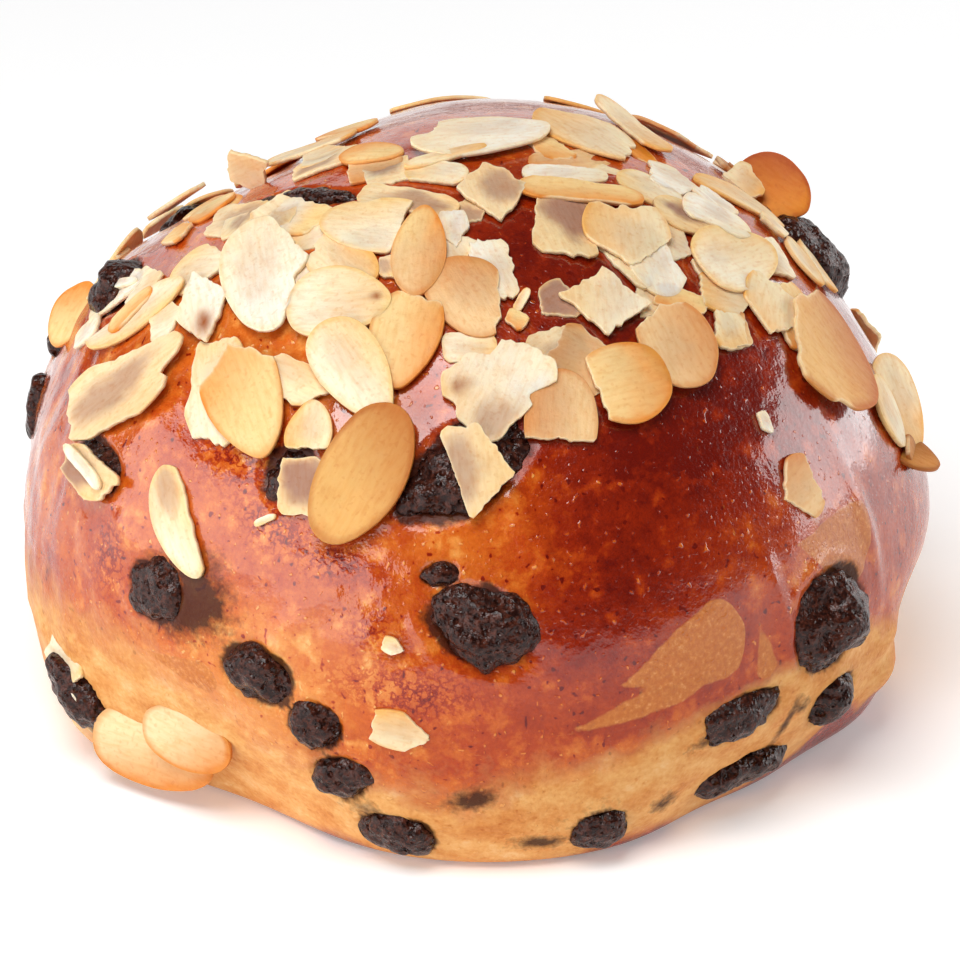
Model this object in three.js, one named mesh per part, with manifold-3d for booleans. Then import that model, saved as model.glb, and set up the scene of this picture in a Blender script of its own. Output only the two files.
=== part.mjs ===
// A glazed breakfast bun with chocolate chips baked into it and toasted almond slices on its crown.
// Millimetres, +Z up. The origin is the middle of the flat underside, and the bun's front faces -Y.
//
// Places on the crust are given as [azimuth, polar] in degrees, seen from the middle of the dome:
// azimuth 0 is the front and +90 the right, polar 0 is the top and 90 the widest level.

import * as THREE from 'three';
import { mergeVertices } from 'three/addons/utils/BufferGeometryUtils.js';
import Module from 'manifold-3d';

// Driving dimensions of the dough
const BUN = {
  halfX: 55,
  halfY: 54,
  halfZ: 48.5,
  centreHeight: 22.5,
  heelRound: 2.5,
  lean: 1.5,
  detail: 8,
};

// Swells and dips in the dough: place, spread in degrees and height in millimetres
const LUMPS = [
  { at: [101, 61], spread: 13, height: -1.6 },
  { at: [84, 88], spread: 9, height: 1.5 },
  { at: [78, 100], spread: 5, height: -2.0 },
  { at: [71, 108], spread: 6, height: 1.6 },
  { at: [57, 113], spread: 7, height: -1.4 },
  { at: [38, 113], spread: 8, height: -2.6 },
  { at: [6, 113], spread: 22, height: 2.1 },
  { at: [-36, 112], spread: 13, height: -4.6 },
  { at: [-70, 109], spread: 9, height: 1.6 },
  { at: [-100, 64], spread: 10, height: 1.4 },
  { at: [-124, 42], spread: 14, height: -3.2 },
  { at: [180, 18], spread: 22, height: 0.7 },
];

// Almond slices: thickness, points round the outline, and how far a slice is pressed into the glaze
const SLICE = { thick: 1.1, outlinePoints: 8, pressed: 0.45 };

// Outlines of slices: how sharp the ends are, how egg-shaped the slice is, and the straight breaks,
// each as [direction in degrees, distance from the middle as a share of the half size]
const OUTLINES = {
  whole: { point: 1.12, egg: 0.2, breaks: [] },
  round: { point: 0.8, egg: 0.08, breaks: [[200, 0.84]] },
  half: { point: 0.95, egg: 0.1, breaks: [[180, 0.45]] },
  kite: { point: 1, egg: 0.1, breaks: [[42, 0.66], [-48, 0.62], [138, 0.68], [-140, 0.64]] },
  shard: { point: 1, egg: 0.15, breaks: [[35, 0.5], [-30, 0.56], [180, 0.72]] },
  chunk: { point: 0.85, egg: 0.05, breaks: [[68, 0.74], [172, 0.8], [-118, 0.72], [-24, 0.86]] },
  wedge: { point: 0.9, egg: 0, breaks: [[123, 0.72], [36, 0.75], [-76, 0.42], [180, 0.9]] },
  strip: { point: 0.75, egg: 0.1, breaks: [[90, 0.8], [-84, 0.76]] },
};

// Slices on the crown, the left shoulder, the brow, the right shoulder and low on the sides.
// Each runs between two places on the crust, is lifted there by millimetres and rolls about its length.
const SLICES = [
  { from: [-59, 9.5], to: [94, 9], width: 9, outline: 'whole', lift: [0.6, 0.6] },
  { from: [2, 10.3], to: [8, 23], width: 8.5, outline: 'kite', lift: [0.9, 0.6] },
  { from: [135, 14], to: [82, 20.7], width: 10, outline: 'whole', lift: [0.5, 0.5] },
  { from: [138, 26.5], to: [99, 26], width: 5, outline: 'strip', lift: [1.2, 0.2] },
  { from: [21, 17.3], to: [58, 26], width: 4.5, outline: 'strip', lift: [0.9, 0.9] },
  { from: [29, 14], to: [62, 19.5], width: 4, outline: 'strip', lift: [0.2, 0.2] },
  { from: [30.5, 19], to: [27, 31.5], width: 8.5, outline: 'chunk', lift: [0.2, 0.2] },
  { from: [31, 36.5], to: [42, 24], width: 4, outline: 'whole', lift: [0.9, 0.9] },
  { from: [46.7, 26], to: [36.5, 39.5], width: 8, outline: 'kite', lift: [0.3, 0.3] },
  { from: [68, 21.3], to: [69, 31.8], width: 5, outline: 'whole', lift: [0.4, 0.4] },
  { from: [-48, 21.3], to: [-9, 21], width: 4.5, outline: 'strip', lift: [0.1, 0.1] },
  { from: [-82, 19], to: [-62, 12.2], width: 4.5, outline: 'whole', lift: [0.7, 0.7] },
  { from: [-69, 22], to: [-56.7, 13.1], width: 5.5, outline: 'half', lift: [0.3, 0.3] },
  { from: [-108, 32], to: [-112, 19.5], width: 5, outline: 'strip', lift: [1.0, 0.3] },
  { from: [-83, 27], to: [-90, 17], width: 5.5, outline: 'chunk', lift: [0.2, 0.2] },

  { from: [-98, 36.5], to: [-92, 30], width: 4.6, outline: 'kite', lift: [-0.6, -0.6], roll: -80 },
  { from: [-90, 36.5], to: [-95, 43], width: 6, outline: 'whole', lift: [0.3, 0.3] },
  { from: [-86, 42.5], to: [-89, 46.5], width: 4.5, outline: 'chunk', lift: [0.5, 0.5] },
  { from: [-80, 40], to: [-72, 32], width: 7, outline: 'chunk', lift: [0.1, 0.1] },
  { from: [-72.6, 46], to: [-61.5, 41], width: 7, outline: 'whole', lift: [0.4, 0.4] },
  { from: [-66, 44.3], to: [-49, 50.8], width: 7, outline: 'kite', lift: [0.8, 0.8] },
  { from: [-76, 60.3], to: [-66, 46.7], width: 5.5, outline: 'whole', lift: [0.5, 0.5] },
  { from: [-95, 60], to: [-89.5, 67], width: 5.4, outline: 'whole', lift: [-0.6, -0.6], roll: -35 },
  { from: [-67.7, 70.2], to: [-54.2, 53.2], width: 10.5, outline: 'chunk', lift: [0.6, 0.6] },
  { from: [-46, 67.3], to: [-36.8, 77.2], width: 6, outline: 'whole', lift: [0.3, 0.3] },
  { from: [-62.5, 69.2], to: [-52, 73.5], width: 5, outline: 'kite', lift: [1.2, 0.6] },

  { from: [-63, 34.3], to: [-38.5, 45.3], width: 10, outline: 'whole', lift: [0.5, 0.5] },
  { from: [-67, 32.3], to: [-50, 27.8], width: 6.5, outline: 'chunk', lift: [0.3, 0.3] },
  { from: [-16, 25.5], to: [-48, 28.5], width: 8, outline: 'half', lift: [0.6, 0.6] },
  { from: [-44, 31.5], to: [-25, 36], width: 6.5, outline: 'round', lift: [0.3, 0.3] },
  { from: [-13.5, 36.3], to: [-20, 21.8], width: 5.6, outline: 'whole', lift: [0.8, 0.8] },
  { from: [-38, 41.7], to: [-19.5, 38.3], width: 8.5, outline: 'whole', lift: [0.7, 0.7] },
  { from: [-13.6, 36.5], to: [-13.2, 49.5], width: 7.4, outline: 'whole', lift: [1.0, 1.0] },
  { from: [-28.3, 44], to: [-14, 53.6], width: 7.2, outline: 'whole', lift: [1.4, 1.4] },
  { from: [-36.5, 49.8], to: [-24.5, 51.8], width: 6, outline: 'chunk', lift: [0.4, 0.4] },
  { from: [-50.5, 49.5], to: [-38.5, 61], width: 8, outline: 'chunk', lift: [0.2, 0.2] },
  { from: [-46, 49.6], to: [-30.7, 60.7], width: 9, outline: 'whole', lift: [0.9, 0.9] },
  { from: [-24.2, 60.5], to: [-25.7, 53.8], width: 5, outline: 'whole', lift: [1.2, 0.6] },
  { from: [-24.5, 60.3], to: [-23, 67.3], width: 6.5, outline: 'chunk', lift: [1.2, 0.5] },
  { from: [-18.8, 70], to: [-11.7, 53.2], width: 11, outline: 'whole', lift: [1.2, 1.2] },
  { from: [-7.5, 31], to: [2.8, 41.5], width: 8.2, outline: 'whole', lift: [0.7, 0.7] },
  { from: [-5.8, 23.8], to: [7, 35.5], width: 3.6, outline: 'strip', lift: [0.3, 0.3] },
  { from: [8, 42.5], to: [0, 55.5], width: 12.5, outline: 'round', lift: [0.8, 0.8] },
  { from: [-6, 44], to: [3, 43.5], width: 4, outline: 'strip', lift: [0.2, 0.2] },
  { from: [-1.5, 54.8], to: [0.5, 65.2], width: 8.5, outline: 'wedge', lift: [2.0, 1.2] },

  { from: [46.5, 32.5], to: [41, 40.3], width: 6.5, outline: 'round', lift: [0.5, 0.5] },
  { from: [29.5, 34.4], to: [24.6, 44], width: 10, outline: 'kite', lift: [0.9, 0.9] },
  { from: [13.3, 44], to: [24.3, 49.5], width: 8, outline: 'chunk', lift: [0.2, 0.2] },
  { from: [22, 36], to: [12, 40], width: 4.5, outline: 'shard', lift: [0.2, 0.2] },
  { from: [37, 42], to: [36.5, 53], width: 9, outline: 'round', lift: [0.9, 0.9] },
  { from: [37.5, 40.2], to: [48.5, 44], width: 4, outline: 'chunk', lift: [0.3, 0.3] },
  { from: [50.3, 45.5], to: [47.7, 51.3], width: 5, outline: 'chunk', lift: [0.4, 0.4] },
  { from: [31.5, 51], to: [17.5, 51.3], width: 10, outline: 'whole', lift: [1.3, 1.3] },
  { from: [12, 59.5], to: [14.5, 48.3], width: 7.8, outline: 'half', lift: [0.7, 0.7] },
  { from: [53, 39], to: [74, 43], width: 8.5, outline: 'whole', lift: [0.6, 0.6] },
  { from: [48.5, 41], to: [60.5, 47.5], width: 5.5, outline: 'chunk', lift: [0.3, 0.3] },
  { from: [67.5, 46.3], to: [54.5, 52.3], width: 7.5, outline: 'shard', lift: [0.8, 0.8] },
  { from: [63.5, 50], to: [70, 67], width: 11.5, outline: 'whole', lift: [0.8, 0.8] },
  { from: [112, 41.5], to: [103, 49.5], width: 7.5, outline: 'whole', lift: [-1.5, 0], roll: 70 },
  { from: [110, 39], to: [104, 43.5], width: 4.6, outline: 'chunk', lift: [-1.0, -1.0], roll: 55 },
  { from: [90, 31.5], to: [96, 45.8], width: 5, outline: 'whole', lift: [0.5, 0.5] },
  { from: [82, 31], to: [82, 37.5], width: 4.5, outline: 'chunk', lift: [0.4, 0.4] },
  { from: [90, 47], to: [82.5, 52.3], width: 5, outline: 'whole', lift: [0.4, 0.4] },
  { from: [76.5, 66], to: [76, 75], width: 6, outline: 'whole', lift: [0.4, 0.4] },
  { from: [84, 66], to: [79.5, 77], width: 6.4, outline: 'whole', lift: [-0.6, -0.6], roll: 30 },
  { from: [77, 75.5], to: [77.5, 79.5], width: 5, outline: 'whole', lift: [-1, 3.2] },
  { from: [52, 69.5], to: [43.8, 70.6], width: 7, outline: 'shard', lift: [0.2, 0.2] },

  { from: [-57, 107], to: [-38, 107.5], width: 9, outline: 'whole', lift: [-0.9, -0.9], roll: -35 },
  { from: [-48, 101.5], to: [-33.5, 102.5], width: 7.5, outline: 'half', lift: [-0.8, -0.8], roll: -25 },
  { from: [-67.5, 99], to: [-59.5, 100], width: 5, outline: 'chunk', lift: [-0.5, -0.5], roll: -20 },
  { from: [-12.5, 91.5], to: [-3, 93], width: 4.5, outline: 'shard', lift: [0.2, 0.2] },
  { from: [66, 97.5], to: [61.5, 107], width: 4, outline: 'chunk', lift: [-0.4, -0.4], roll: 25 },
];

// Chocolate chips: size is length, width and depth; turn goes from level towards downhill
const CHIPS = [
  { at: [1, 79], size: [12.6, 9.6, 9], turn: 20, rise: 2.2 },
  { at: [-4.3, 72.6], size: [5, 2.6, 2.4], turn: -12, rise: 0.5 },
  { at: [-26.8, 88.3], size: [10.8, 8, 8], turn: 10, rise: 1.6 },
  { at: [-19, 93.7], size: [7, 7.2, 6], turn: 0, rise: 1.5 },
  { at: [-16, 101], size: [7.6, 6.4, 6], turn: -25, rise: 1.6 },
  { at: [-9, 109], size: [9.4, 6.6, 6], turn: 0, rise: 1.8 },
  { at: [-43.3, 82], size: [8.8, 8.6, 7], turn: -30, rise: 1.4 },
  { at: [-61.5, 104], size: [11.5, 7, 6], turn: 45, rise: 2.2 },
  { at: [-86.5, 55], size: [10, 8, 8], turn: 0, rise: 2.4 },
  { at: [-94.5, 68.5], size: [5, 4, 4], turn: 0, rise: 1.4 },
  { at: [-94, 77.5], size: [8, 5, 4.5], turn: 90, rise: 1.6 },
  { at: [-60, 71.2], size: [11.5, 7.5, 6], turn: 0, rise: 0.8 },
  { at: [-26.5, 62.5], size: [9, 8, 6], turn: 90, rise: 0.8 },
  { at: [-2, 60], size: [17, 10, 8], turn: -35, rise: 1.6 },
  { at: [50.5, 88], size: [12.5, 13, 10], turn: 90, rise: 3.2 },
  { at: [54, 101], size: [8, 7, 7], turn: 0, rise: 2.2 },
  { at: [36, 96.3], size: [12, 6.4, 7], turn: -8, rise: 1.4 },
  { at: [39.5, 108], size: [12.5, 6.5, 7], turn: -5, rise: 2.2 },
  { at: [17, 108.5], size: [6.5, 6.5, 5], turn: 0, rise: 1.4 },
  { at: [-68, 26.5], size: [15, 3.4, 5], turn: -38, rise: 1.0 },
  { at: [100, 53.5], size: [14.5, 8, 8], turn: 85, rise: 3 },
];
const CHIP = { detail: 1, lump: 0.1, waves: [3.1, 2.7, 2.3], gap: 0.3, floorClearance: 0.8 };

// The back is dressed by an even rule: counts, the bands of places, and the ranges of sizes
const BACK = {
  slices: 20,
  sliceAzimuths: [112, 250],
  slicePolars: [34, 82],
  sliceLengths: [9, 17],
  sliceWidths: [0.52, 0.7],
  sliceLifts: [0.1, 1.2],
  outlines: ['whole', 'round', 'whole', 'half', 'kite', 'chunk', 'whole'],
  chips: 12,
  chipAzimuths: [118, 250],
  chipPolars: [48, 108],
  chipLengths: [6.5, 13],
  chipWidth: 0.76,
  chipDepth: 0.66,
  chipTurns: [-60, 60],
  chipRises: [0.9, 2.2],
};

// Irrational shares of a range that the rule for the back steps by, one for each kind of value
const STEP = { place: 0.618, length: 0.7549, turn: 0.5698, width: 0.4142, start: 0.7321, end: 0.2361 };

// Colours, the step in degrees for slopes of the crust, and the distance within which vertices are one
const COLOUR = { crust: 0xb8611f, chocolate: 0x2e1a15 };
const SLOPE_STEP = 0.5;
const MERGE_DISTANCE = 1e-4;

const wasm = await Module();
wasm.setup();
const { degToRad, radToDeg } = THREE.MathUtils;

// Unit vector from the middle of the dome towards a place on the crust
function direction([azimuth, polar]) {
  const across = Math.sin(degToRad(polar));
  const turn = degToRad(azimuth);
  return new THREE.Vector3(across * Math.sin(turn), -across * Math.cos(turn), Math.cos(degToRad(polar)));
}

// Height eased onto the flat underside, so that the heel of the bun is round
function heelHeight(z) {
  const round = BUN.heelRound;
  if (z < -round) {
    return 0;
  }
  return z > round ? z : (z + round) ** 2 / (4 * round);
}

// Point of the crust along a unit vector: an ellipsoid with its lumps, leaning a little to the right
function crustAlong(unit) {
  let radius = 1 / Math.hypot(unit.x / BUN.halfX, unit.y / BUN.halfY, unit.z / BUN.halfZ);
  for (const lump of LUMPS) {
    const angle = radToDeg(unit.angleTo(direction(lump.at)));
    radius += lump.height * Math.exp(-0.5 * (angle / lump.spread) ** 2);
  }
  const point = unit.clone().multiplyScalar(radius);
  point.z = heelHeight(point.z + BUN.centreHeight);
  point.x += BUN.lean * point.z / (BUN.centreHeight + BUN.halfZ);
  return point;
}

// Frame on the crust at a place: the point, the way out, the level way to the right and the way downhill
function crustFrame(at) {
  const point = crustAlong(direction(at));
  const downhill = crustAlong(direction([at[0], at[1] + SLOPE_STEP])).sub(point);
  const level = crustAlong(direction([at[0] + SLOPE_STEP, at[1]])).sub(point).normalize();
  const out = new THREE.Vector3().crossVectors(downhill, level).normalize();
  return { point, out, level, downhill: new THREE.Vector3().crossVectors(level, out) };
}

// Closed geometry as a solid, with its shared vertices merged
function solidOf(geometry) {
  const bare = geometry.clone();
  bare.deleteAttribute('normal');
  bare.deleteAttribute('uv');
  const merged = mergeVertices(bare, MERGE_DISTANCE);
  const vertProperties = new Float32Array(merged.attributes.position.array);
  const triVerts = new Uint32Array(merged.index.array);
  return new wasm.Manifold(new wasm.Mesh({ numProp: 3, vertProperties, triVerts }));
}

// Geometry of a solid
function geometryOf(solid) {
  const mesh = solid.getMesh();
  const geometry = new THREE.BufferGeometry();
  geometry.setAttribute('position', new THREE.BufferAttribute(new Float32Array(mesh.vertProperties), 3));
  geometry.setIndex(new THREE.BufferAttribute(new Uint32Array(mesh.triVerts), 1));
  geometry.computeVertexNormals();
  return geometry;
}

// The bare dough, its underside flat on the ground
function doughGeometry() {
  const geometry = new THREE.IcosahedronGeometry(1, BUN.detail);
  const position = geometry.attributes.position;
  for (let i = 0; i < position.count; i += 1) {
    const point = crustAlong(new THREE.Vector3().fromBufferAttribute(position, i).normalize());
    position.setXYZ(i, point.x, point.y, point.z);
  }
  return geometry;
}

// Outline point of a slice of half size 1 by 1 at an angle, pulled in to the slice's straight breaks
function outlinePoint(outline, angle) {
  const { point, egg, breaks } = OUTLINES[outline];
  const along = Math.cos(angle);
  const across = Math.sign(Math.sin(angle)) * Math.abs(Math.sin(angle)) ** point * (1 - egg * along);
  let reach = 1;
  for (const [way, distance] of breaks) {
    const towards = along * Math.cos(degToRad(way)) + across * Math.sin(degToRad(way));
    if (towards > distance) {
      reach = Math.min(reach, distance / towards);
    }
  }
  return new THREE.Vector2(along * reach, across * reach);
}

// Almond slice between two places, lifted and rolled as the slice says, its root reaching into the dough
function sliceGeometry({ from, to, width, outline, lift, roll = 0 }) {
  const start = crustFrame(from);
  const end = crustFrame(to);
  const a = start.point.clone().addScaledVector(start.out, lift[0]);
  const b = end.point.clone().addScaledVector(end.out, lift[1]);
  const along = b.clone().sub(a);
  const length = along.length();
  along.normalize();
  const out = start.out.clone().add(end.out);
  out.addScaledVector(along, -out.dot(along)).normalize().applyAxisAngle(along, degToRad(roll));
  const across = new THREE.Vector3().crossVectors(out, along);

  const points = [];
  for (let i = 0; i < SLICE.outlinePoints; i += 1) {
    const point = outlinePoint(outline, 2 * Math.PI * i / SLICE.outlinePoints);
    points.push(new THREE.Vector2(point.x * length / 2, point.y * width / 2));
  }
  const root = Math.max(0, (lift[0] + lift[1]) / 2);
  const geometry = new THREE.ExtrudeGeometry(new THREE.Shape(points), {
    depth: SLICE.thick + root,
    steps: 1,
    bevelEnabled: false,
  });
  const stand = width / 2 * Math.abs(Math.sin(degToRad(roll)));
  const middle = a.clone().add(b).multiplyScalar(0.5);
  middle.addScaledVector(start.out.clone().add(end.out).normalize(), stand - SLICE.pressed);
  middle.addScaledVector(out, -root);
  geometry.applyMatrix4(new THREE.Matrix4().makeBasis(along, across, out).setPosition(middle));
  return geometry;
}

// Lumpy chocolate chip sunk in the crust, grown all round by a margin
function chipGeometry({ at, size, turn, rise }, index, grow) {
  const { point, out, level, downhill } = crustFrame(at);
  const [wx, wy, wz] = CHIP.waves;
  const along = level.clone().multiplyScalar(Math.cos(degToRad(turn)));
  along.addScaledVector(downhill, Math.sin(degToRad(turn)));
  const across = new THREE.Vector3().crossVectors(out, along);
  const centre = point.clone().addScaledVector(out, rise - size[2] / 2);
  const geometry = new THREE.IcosahedronGeometry(1, CHIP.detail);
  const position = geometry.attributes.position;
  for (let i = 0; i < position.count; i += 1) {
    const unit = new THREE.Vector3().fromBufferAttribute(position, i).normalize();
    const wave = Math.sin(wx * unit.x + index) + Math.sin(wy * unit.y + 2 * index) * Math.cos(wz * unit.z);
    const reach = 1 + CHIP.lump * wave;
    const vertex = centre.clone();
    vertex.addScaledVector(along, unit.x * (reach * size[0] / 2 + grow));
    vertex.addScaledVector(across, unit.y * (reach * size[1] / 2 + grow));
    vertex.addScaledVector(out, unit.z * (reach * size[2] / 2 + grow));
    position.setXYZ(i, vertex.x, vertex.y, Math.max(vertex.z, CHIP.floorClearance - grow));
  }
  return geometry;
}

// Value between two limits for the i-th of many things, by steps of an irrational share of the range
function stepped([low, high], i, share) {
  return low + (high - low) * ((i + 0.5) * share % 1);
}

// Even lattice of places over a band of the back
function backPlaces(count, azimuths, polars) {
  const places = [];
  for (let i = 0; i < count; i += 1) {
    places.push([stepped(azimuths, i, STEP.place), stepped(polars, i, 1 / count)]);
  }
  return places;
}

// Slices on the back, largest first
function backSlices() {
  const slices = backPlaces(BACK.slices, BACK.sliceAzimuths, BACK.slicePolars).map(([azimuth, polar], i) => {
    const length = stepped(BACK.sliceLengths, i, STEP.length);
    const turn = degToRad(stepped([0, 360], i, STEP.turn));
    const reach = radToDeg(length / 2 / BUN.halfY);
    const sideways = reach * Math.cos(turn) / Math.sin(degToRad(polar));
    const downhill = reach * Math.sin(turn);
    return {
      from: [azimuth - sideways, polar - downhill],
      to: [azimuth + sideways, polar + downhill],
      width: length * stepped(BACK.sliceWidths, i, STEP.width),
      outline: BACK.outlines[i % BACK.outlines.length],
      lift: [stepped(BACK.sliceLifts, i, STEP.start), stepped(BACK.sliceLifts, i, STEP.end)],
      length,
    };
  });
  return slices.sort((one, other) => other.length - one.length);
}

// Chips on the back, of the same kinds of size as those in front
function backChips() {
  return backPlaces(BACK.chips, BACK.chipAzimuths, BACK.chipPolars).map((at, i) => {
    const length = stepped(BACK.chipLengths, i, STEP.length);
    return {
      at,
      size: [length, length * BACK.chipWidth, length * BACK.chipDepth],
      turn: stepped(BACK.chipTurns, i, STEP.turn),
      rise: stepped(BACK.chipRises, i, STEP.width),
    };
  });
}

// The largest solid of those that a join or cut leaves, without loose scraps
function mainBody(solid) {
  return solid.decompose().reduce((best, body) => (body.volume() > best.volume() ? body : best));
}

// Dough and slices in one piece, with a pocket round each chip
function bunGeometry(slices, chips) {
  let bun = solidOf(doughGeometry());
  for (const slice of slices) {
    bun = bun.add(solidOf(sliceGeometry(slice)));
  }
  chips.forEach((chip, index) => {
    bun = bun.subtract(solidOf(chipGeometry(chip, index, CHIP.gap)));
  });
  return geometryOf(mainBody(bun));
}

const crustMaterial = new THREE.MeshStandardMaterial({ color: COLOUR.crust, roughness: 0.35, metalness: 0 });
const chips = [...CHIPS, ...backChips()];
const part = new THREE.Group();
part.name = 'chocolate_chip_bun';

const bun = new THREE.Mesh(bunGeometry([...SLICES, ...backSlices()], chips), crustMaterial);
bun.name = 'bun';
part.add(bun);

chips.forEach((chip, index) => {
  const material = new THREE.MeshStandardMaterial({ color: COLOUR.chocolate, roughness: 0.5, metalness: 0 });
  const mesh = new THREE.Mesh(chipGeometry(chip, index, 0), material);
  mesh.name = `chip_${String(index + 1).padStart(2, '0')}`;
  part.add(mesh);
});

export default part;
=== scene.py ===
"""Looks of a glazed breakfast bun with chocolate chips in its crust and toasted almond slices on its crown.

Places on the crust are (azimuth, polar) in degrees, seen from the middle of the dome: azimuth 0 is the front
and +90 the right, polar 0 is the top and 90 the widest level. Lengths are millimetres until a mesh is made.
"""

import logging
import math
from collections.abc import Iterator, Sequence
from dataclasses import dataclass
from enum import Enum, IntEnum

import bpy
import numpy as np
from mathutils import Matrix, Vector


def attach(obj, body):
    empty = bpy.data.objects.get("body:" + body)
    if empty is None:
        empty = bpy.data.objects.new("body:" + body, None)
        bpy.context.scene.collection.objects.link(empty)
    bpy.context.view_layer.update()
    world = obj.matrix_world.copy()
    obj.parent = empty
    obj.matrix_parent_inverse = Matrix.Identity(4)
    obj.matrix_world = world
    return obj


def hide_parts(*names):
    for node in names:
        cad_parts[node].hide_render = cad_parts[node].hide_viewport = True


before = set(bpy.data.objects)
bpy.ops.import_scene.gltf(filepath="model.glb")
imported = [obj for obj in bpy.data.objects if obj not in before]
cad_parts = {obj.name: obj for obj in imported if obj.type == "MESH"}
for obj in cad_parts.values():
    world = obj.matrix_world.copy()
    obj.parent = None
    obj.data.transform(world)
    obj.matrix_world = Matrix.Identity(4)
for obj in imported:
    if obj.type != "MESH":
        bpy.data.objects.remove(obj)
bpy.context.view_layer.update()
LOG = logging.getLogger("bun")

MM = 0.001
WHOLE_RANGE = (0.0, 1.0)
WHITE_LIGHT = (1.0, 1.0, 1.0, 1.0)
NEARLY_NONE = 1e-9

# The curve from a screen's colours to linear light
FULL_SHADE = 255.0
SCREEN_KNEE = 0.04045
SCREEN_SLOPE = 12.92
SCREEN_OFFSET = 0.055
SCREEN_POWER = 2.4

# A place is azimuth and polar angle, a span the ends of a range, a shade red, green and blue from 0 to 255.
Place = tuple[float, float]
Span = tuple[float, float]
Shade = tuple[int, int, int]
# A bite is direction, depth and half width, a swell middle, spread and amount, a stain along, across, size.
Bite = tuple[float, float, float]
Swell = tuple[float, float, float]
Stain = tuple[float, float, float]
# A grit is a noise's size in millimetres and its octaves, and stops are a ramp's places and shades.
Grit = tuple[float, float]
Stops = tuple[tuple[float, Shade], ...]
Socket = bpy.types.NodeSocket


class Slot(Enum):
    """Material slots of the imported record."""

    CRUST = "crust"
    CHOCOLATE = "chocolate"


class Seed(IntEnum):
    """Names of the noises, so that each has its own pattern."""

    SWELL = 3
    RIPPLE = 4
    CRAG = 5
    POCKET = 7
    RIDGE = 9
    PIT = 13
    EDGE = 21
    MOTTLE = 31
    STREAK = 37
    BLEED = 41
    FOOT = 43
    FIBRE = 47
    BLOTCH = 61
    FRAY = 71
    WANDER = 73
    WARP = 81


def linear(shade: Sequence[float]) -> np.ndarray:
    """Turns a colour of 0 to 255 as seen on a screen into linear light.

    Args:
        shade: Red, green and blue from 0 to 255.

    Returns:
        The three linear values from 0 to 1.
    """
    share = np.asarray(shade, float) / FULL_SHADE
    curved = ((share + SCREEN_OFFSET) / (1.0 + SCREEN_OFFSET)) ** SCREEN_POWER
    return np.where(share <= SCREEN_KNEE, share / SCREEN_SLOPE, curved)


def eased(low: float, high: float, value: np.ndarray) -> np.ndarray:
    """Smooth step from 0 at low to 1 at high: with t the share of the way, 3 t squared minus 2 t cubed."""
    t = np.clip((value - low) / (high - low), 0.0, 1.0)
    return t * t * (3.0 - 2.0 * t)


def bell(distance: np.ndarray) -> np.ndarray:
    """Soft hump: exp of minus half the squared distance."""
    return np.exp(-0.5 * distance**2)


def blended(colour: np.ndarray, shade: Shade, share: np.ndarray) -> np.ndarray:
    """Rows of linear colour, each moved towards a shade by its share."""
    return colour + (linear(shade) - colour) * share[:, None]


def unit(vectors: np.ndarray) -> np.ndarray:
    """Vectors scaled to length 1."""
    return vectors / np.linalg.norm(vectors, axis=-1, keepdims=True)


def direction(place: Sequence[float] | np.ndarray) -> np.ndarray:
    """Unit vectors from the middle of the dome towards places.

    Args:
        place: Azimuth and polar angle in degrees, as one pair or as rows.

    Returns:
        (sin polar sin azimuth, -sin polar cos azimuth, cos polar) for each place.
    """
    azimuth, polar = np.moveaxis(np.radians(np.asarray(place, float)), -1, 0)
    across = np.sin(polar)
    return np.stack([across * np.sin(azimuth), -across * np.cos(azimuth), np.cos(polar)], axis=-1)


def azimuth_of(units: np.ndarray) -> np.ndarray:
    """Azimuth in degrees of unit vectors."""
    return np.degrees(np.arctan2(units[:, 0], -units[:, 1]))


def polar_of(units: np.ndarray) -> np.ndarray:
    """Polar angle in degrees of unit vectors."""
    return np.degrees(np.arccos(np.clip(units[:, 2], -1.0, 1.0)))


def turned(degrees: np.ndarray) -> np.ndarray:
    """Angles brought to between -180 and 180 degrees."""
    return (degrees + 180.0) % 360.0 - 180.0


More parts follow.
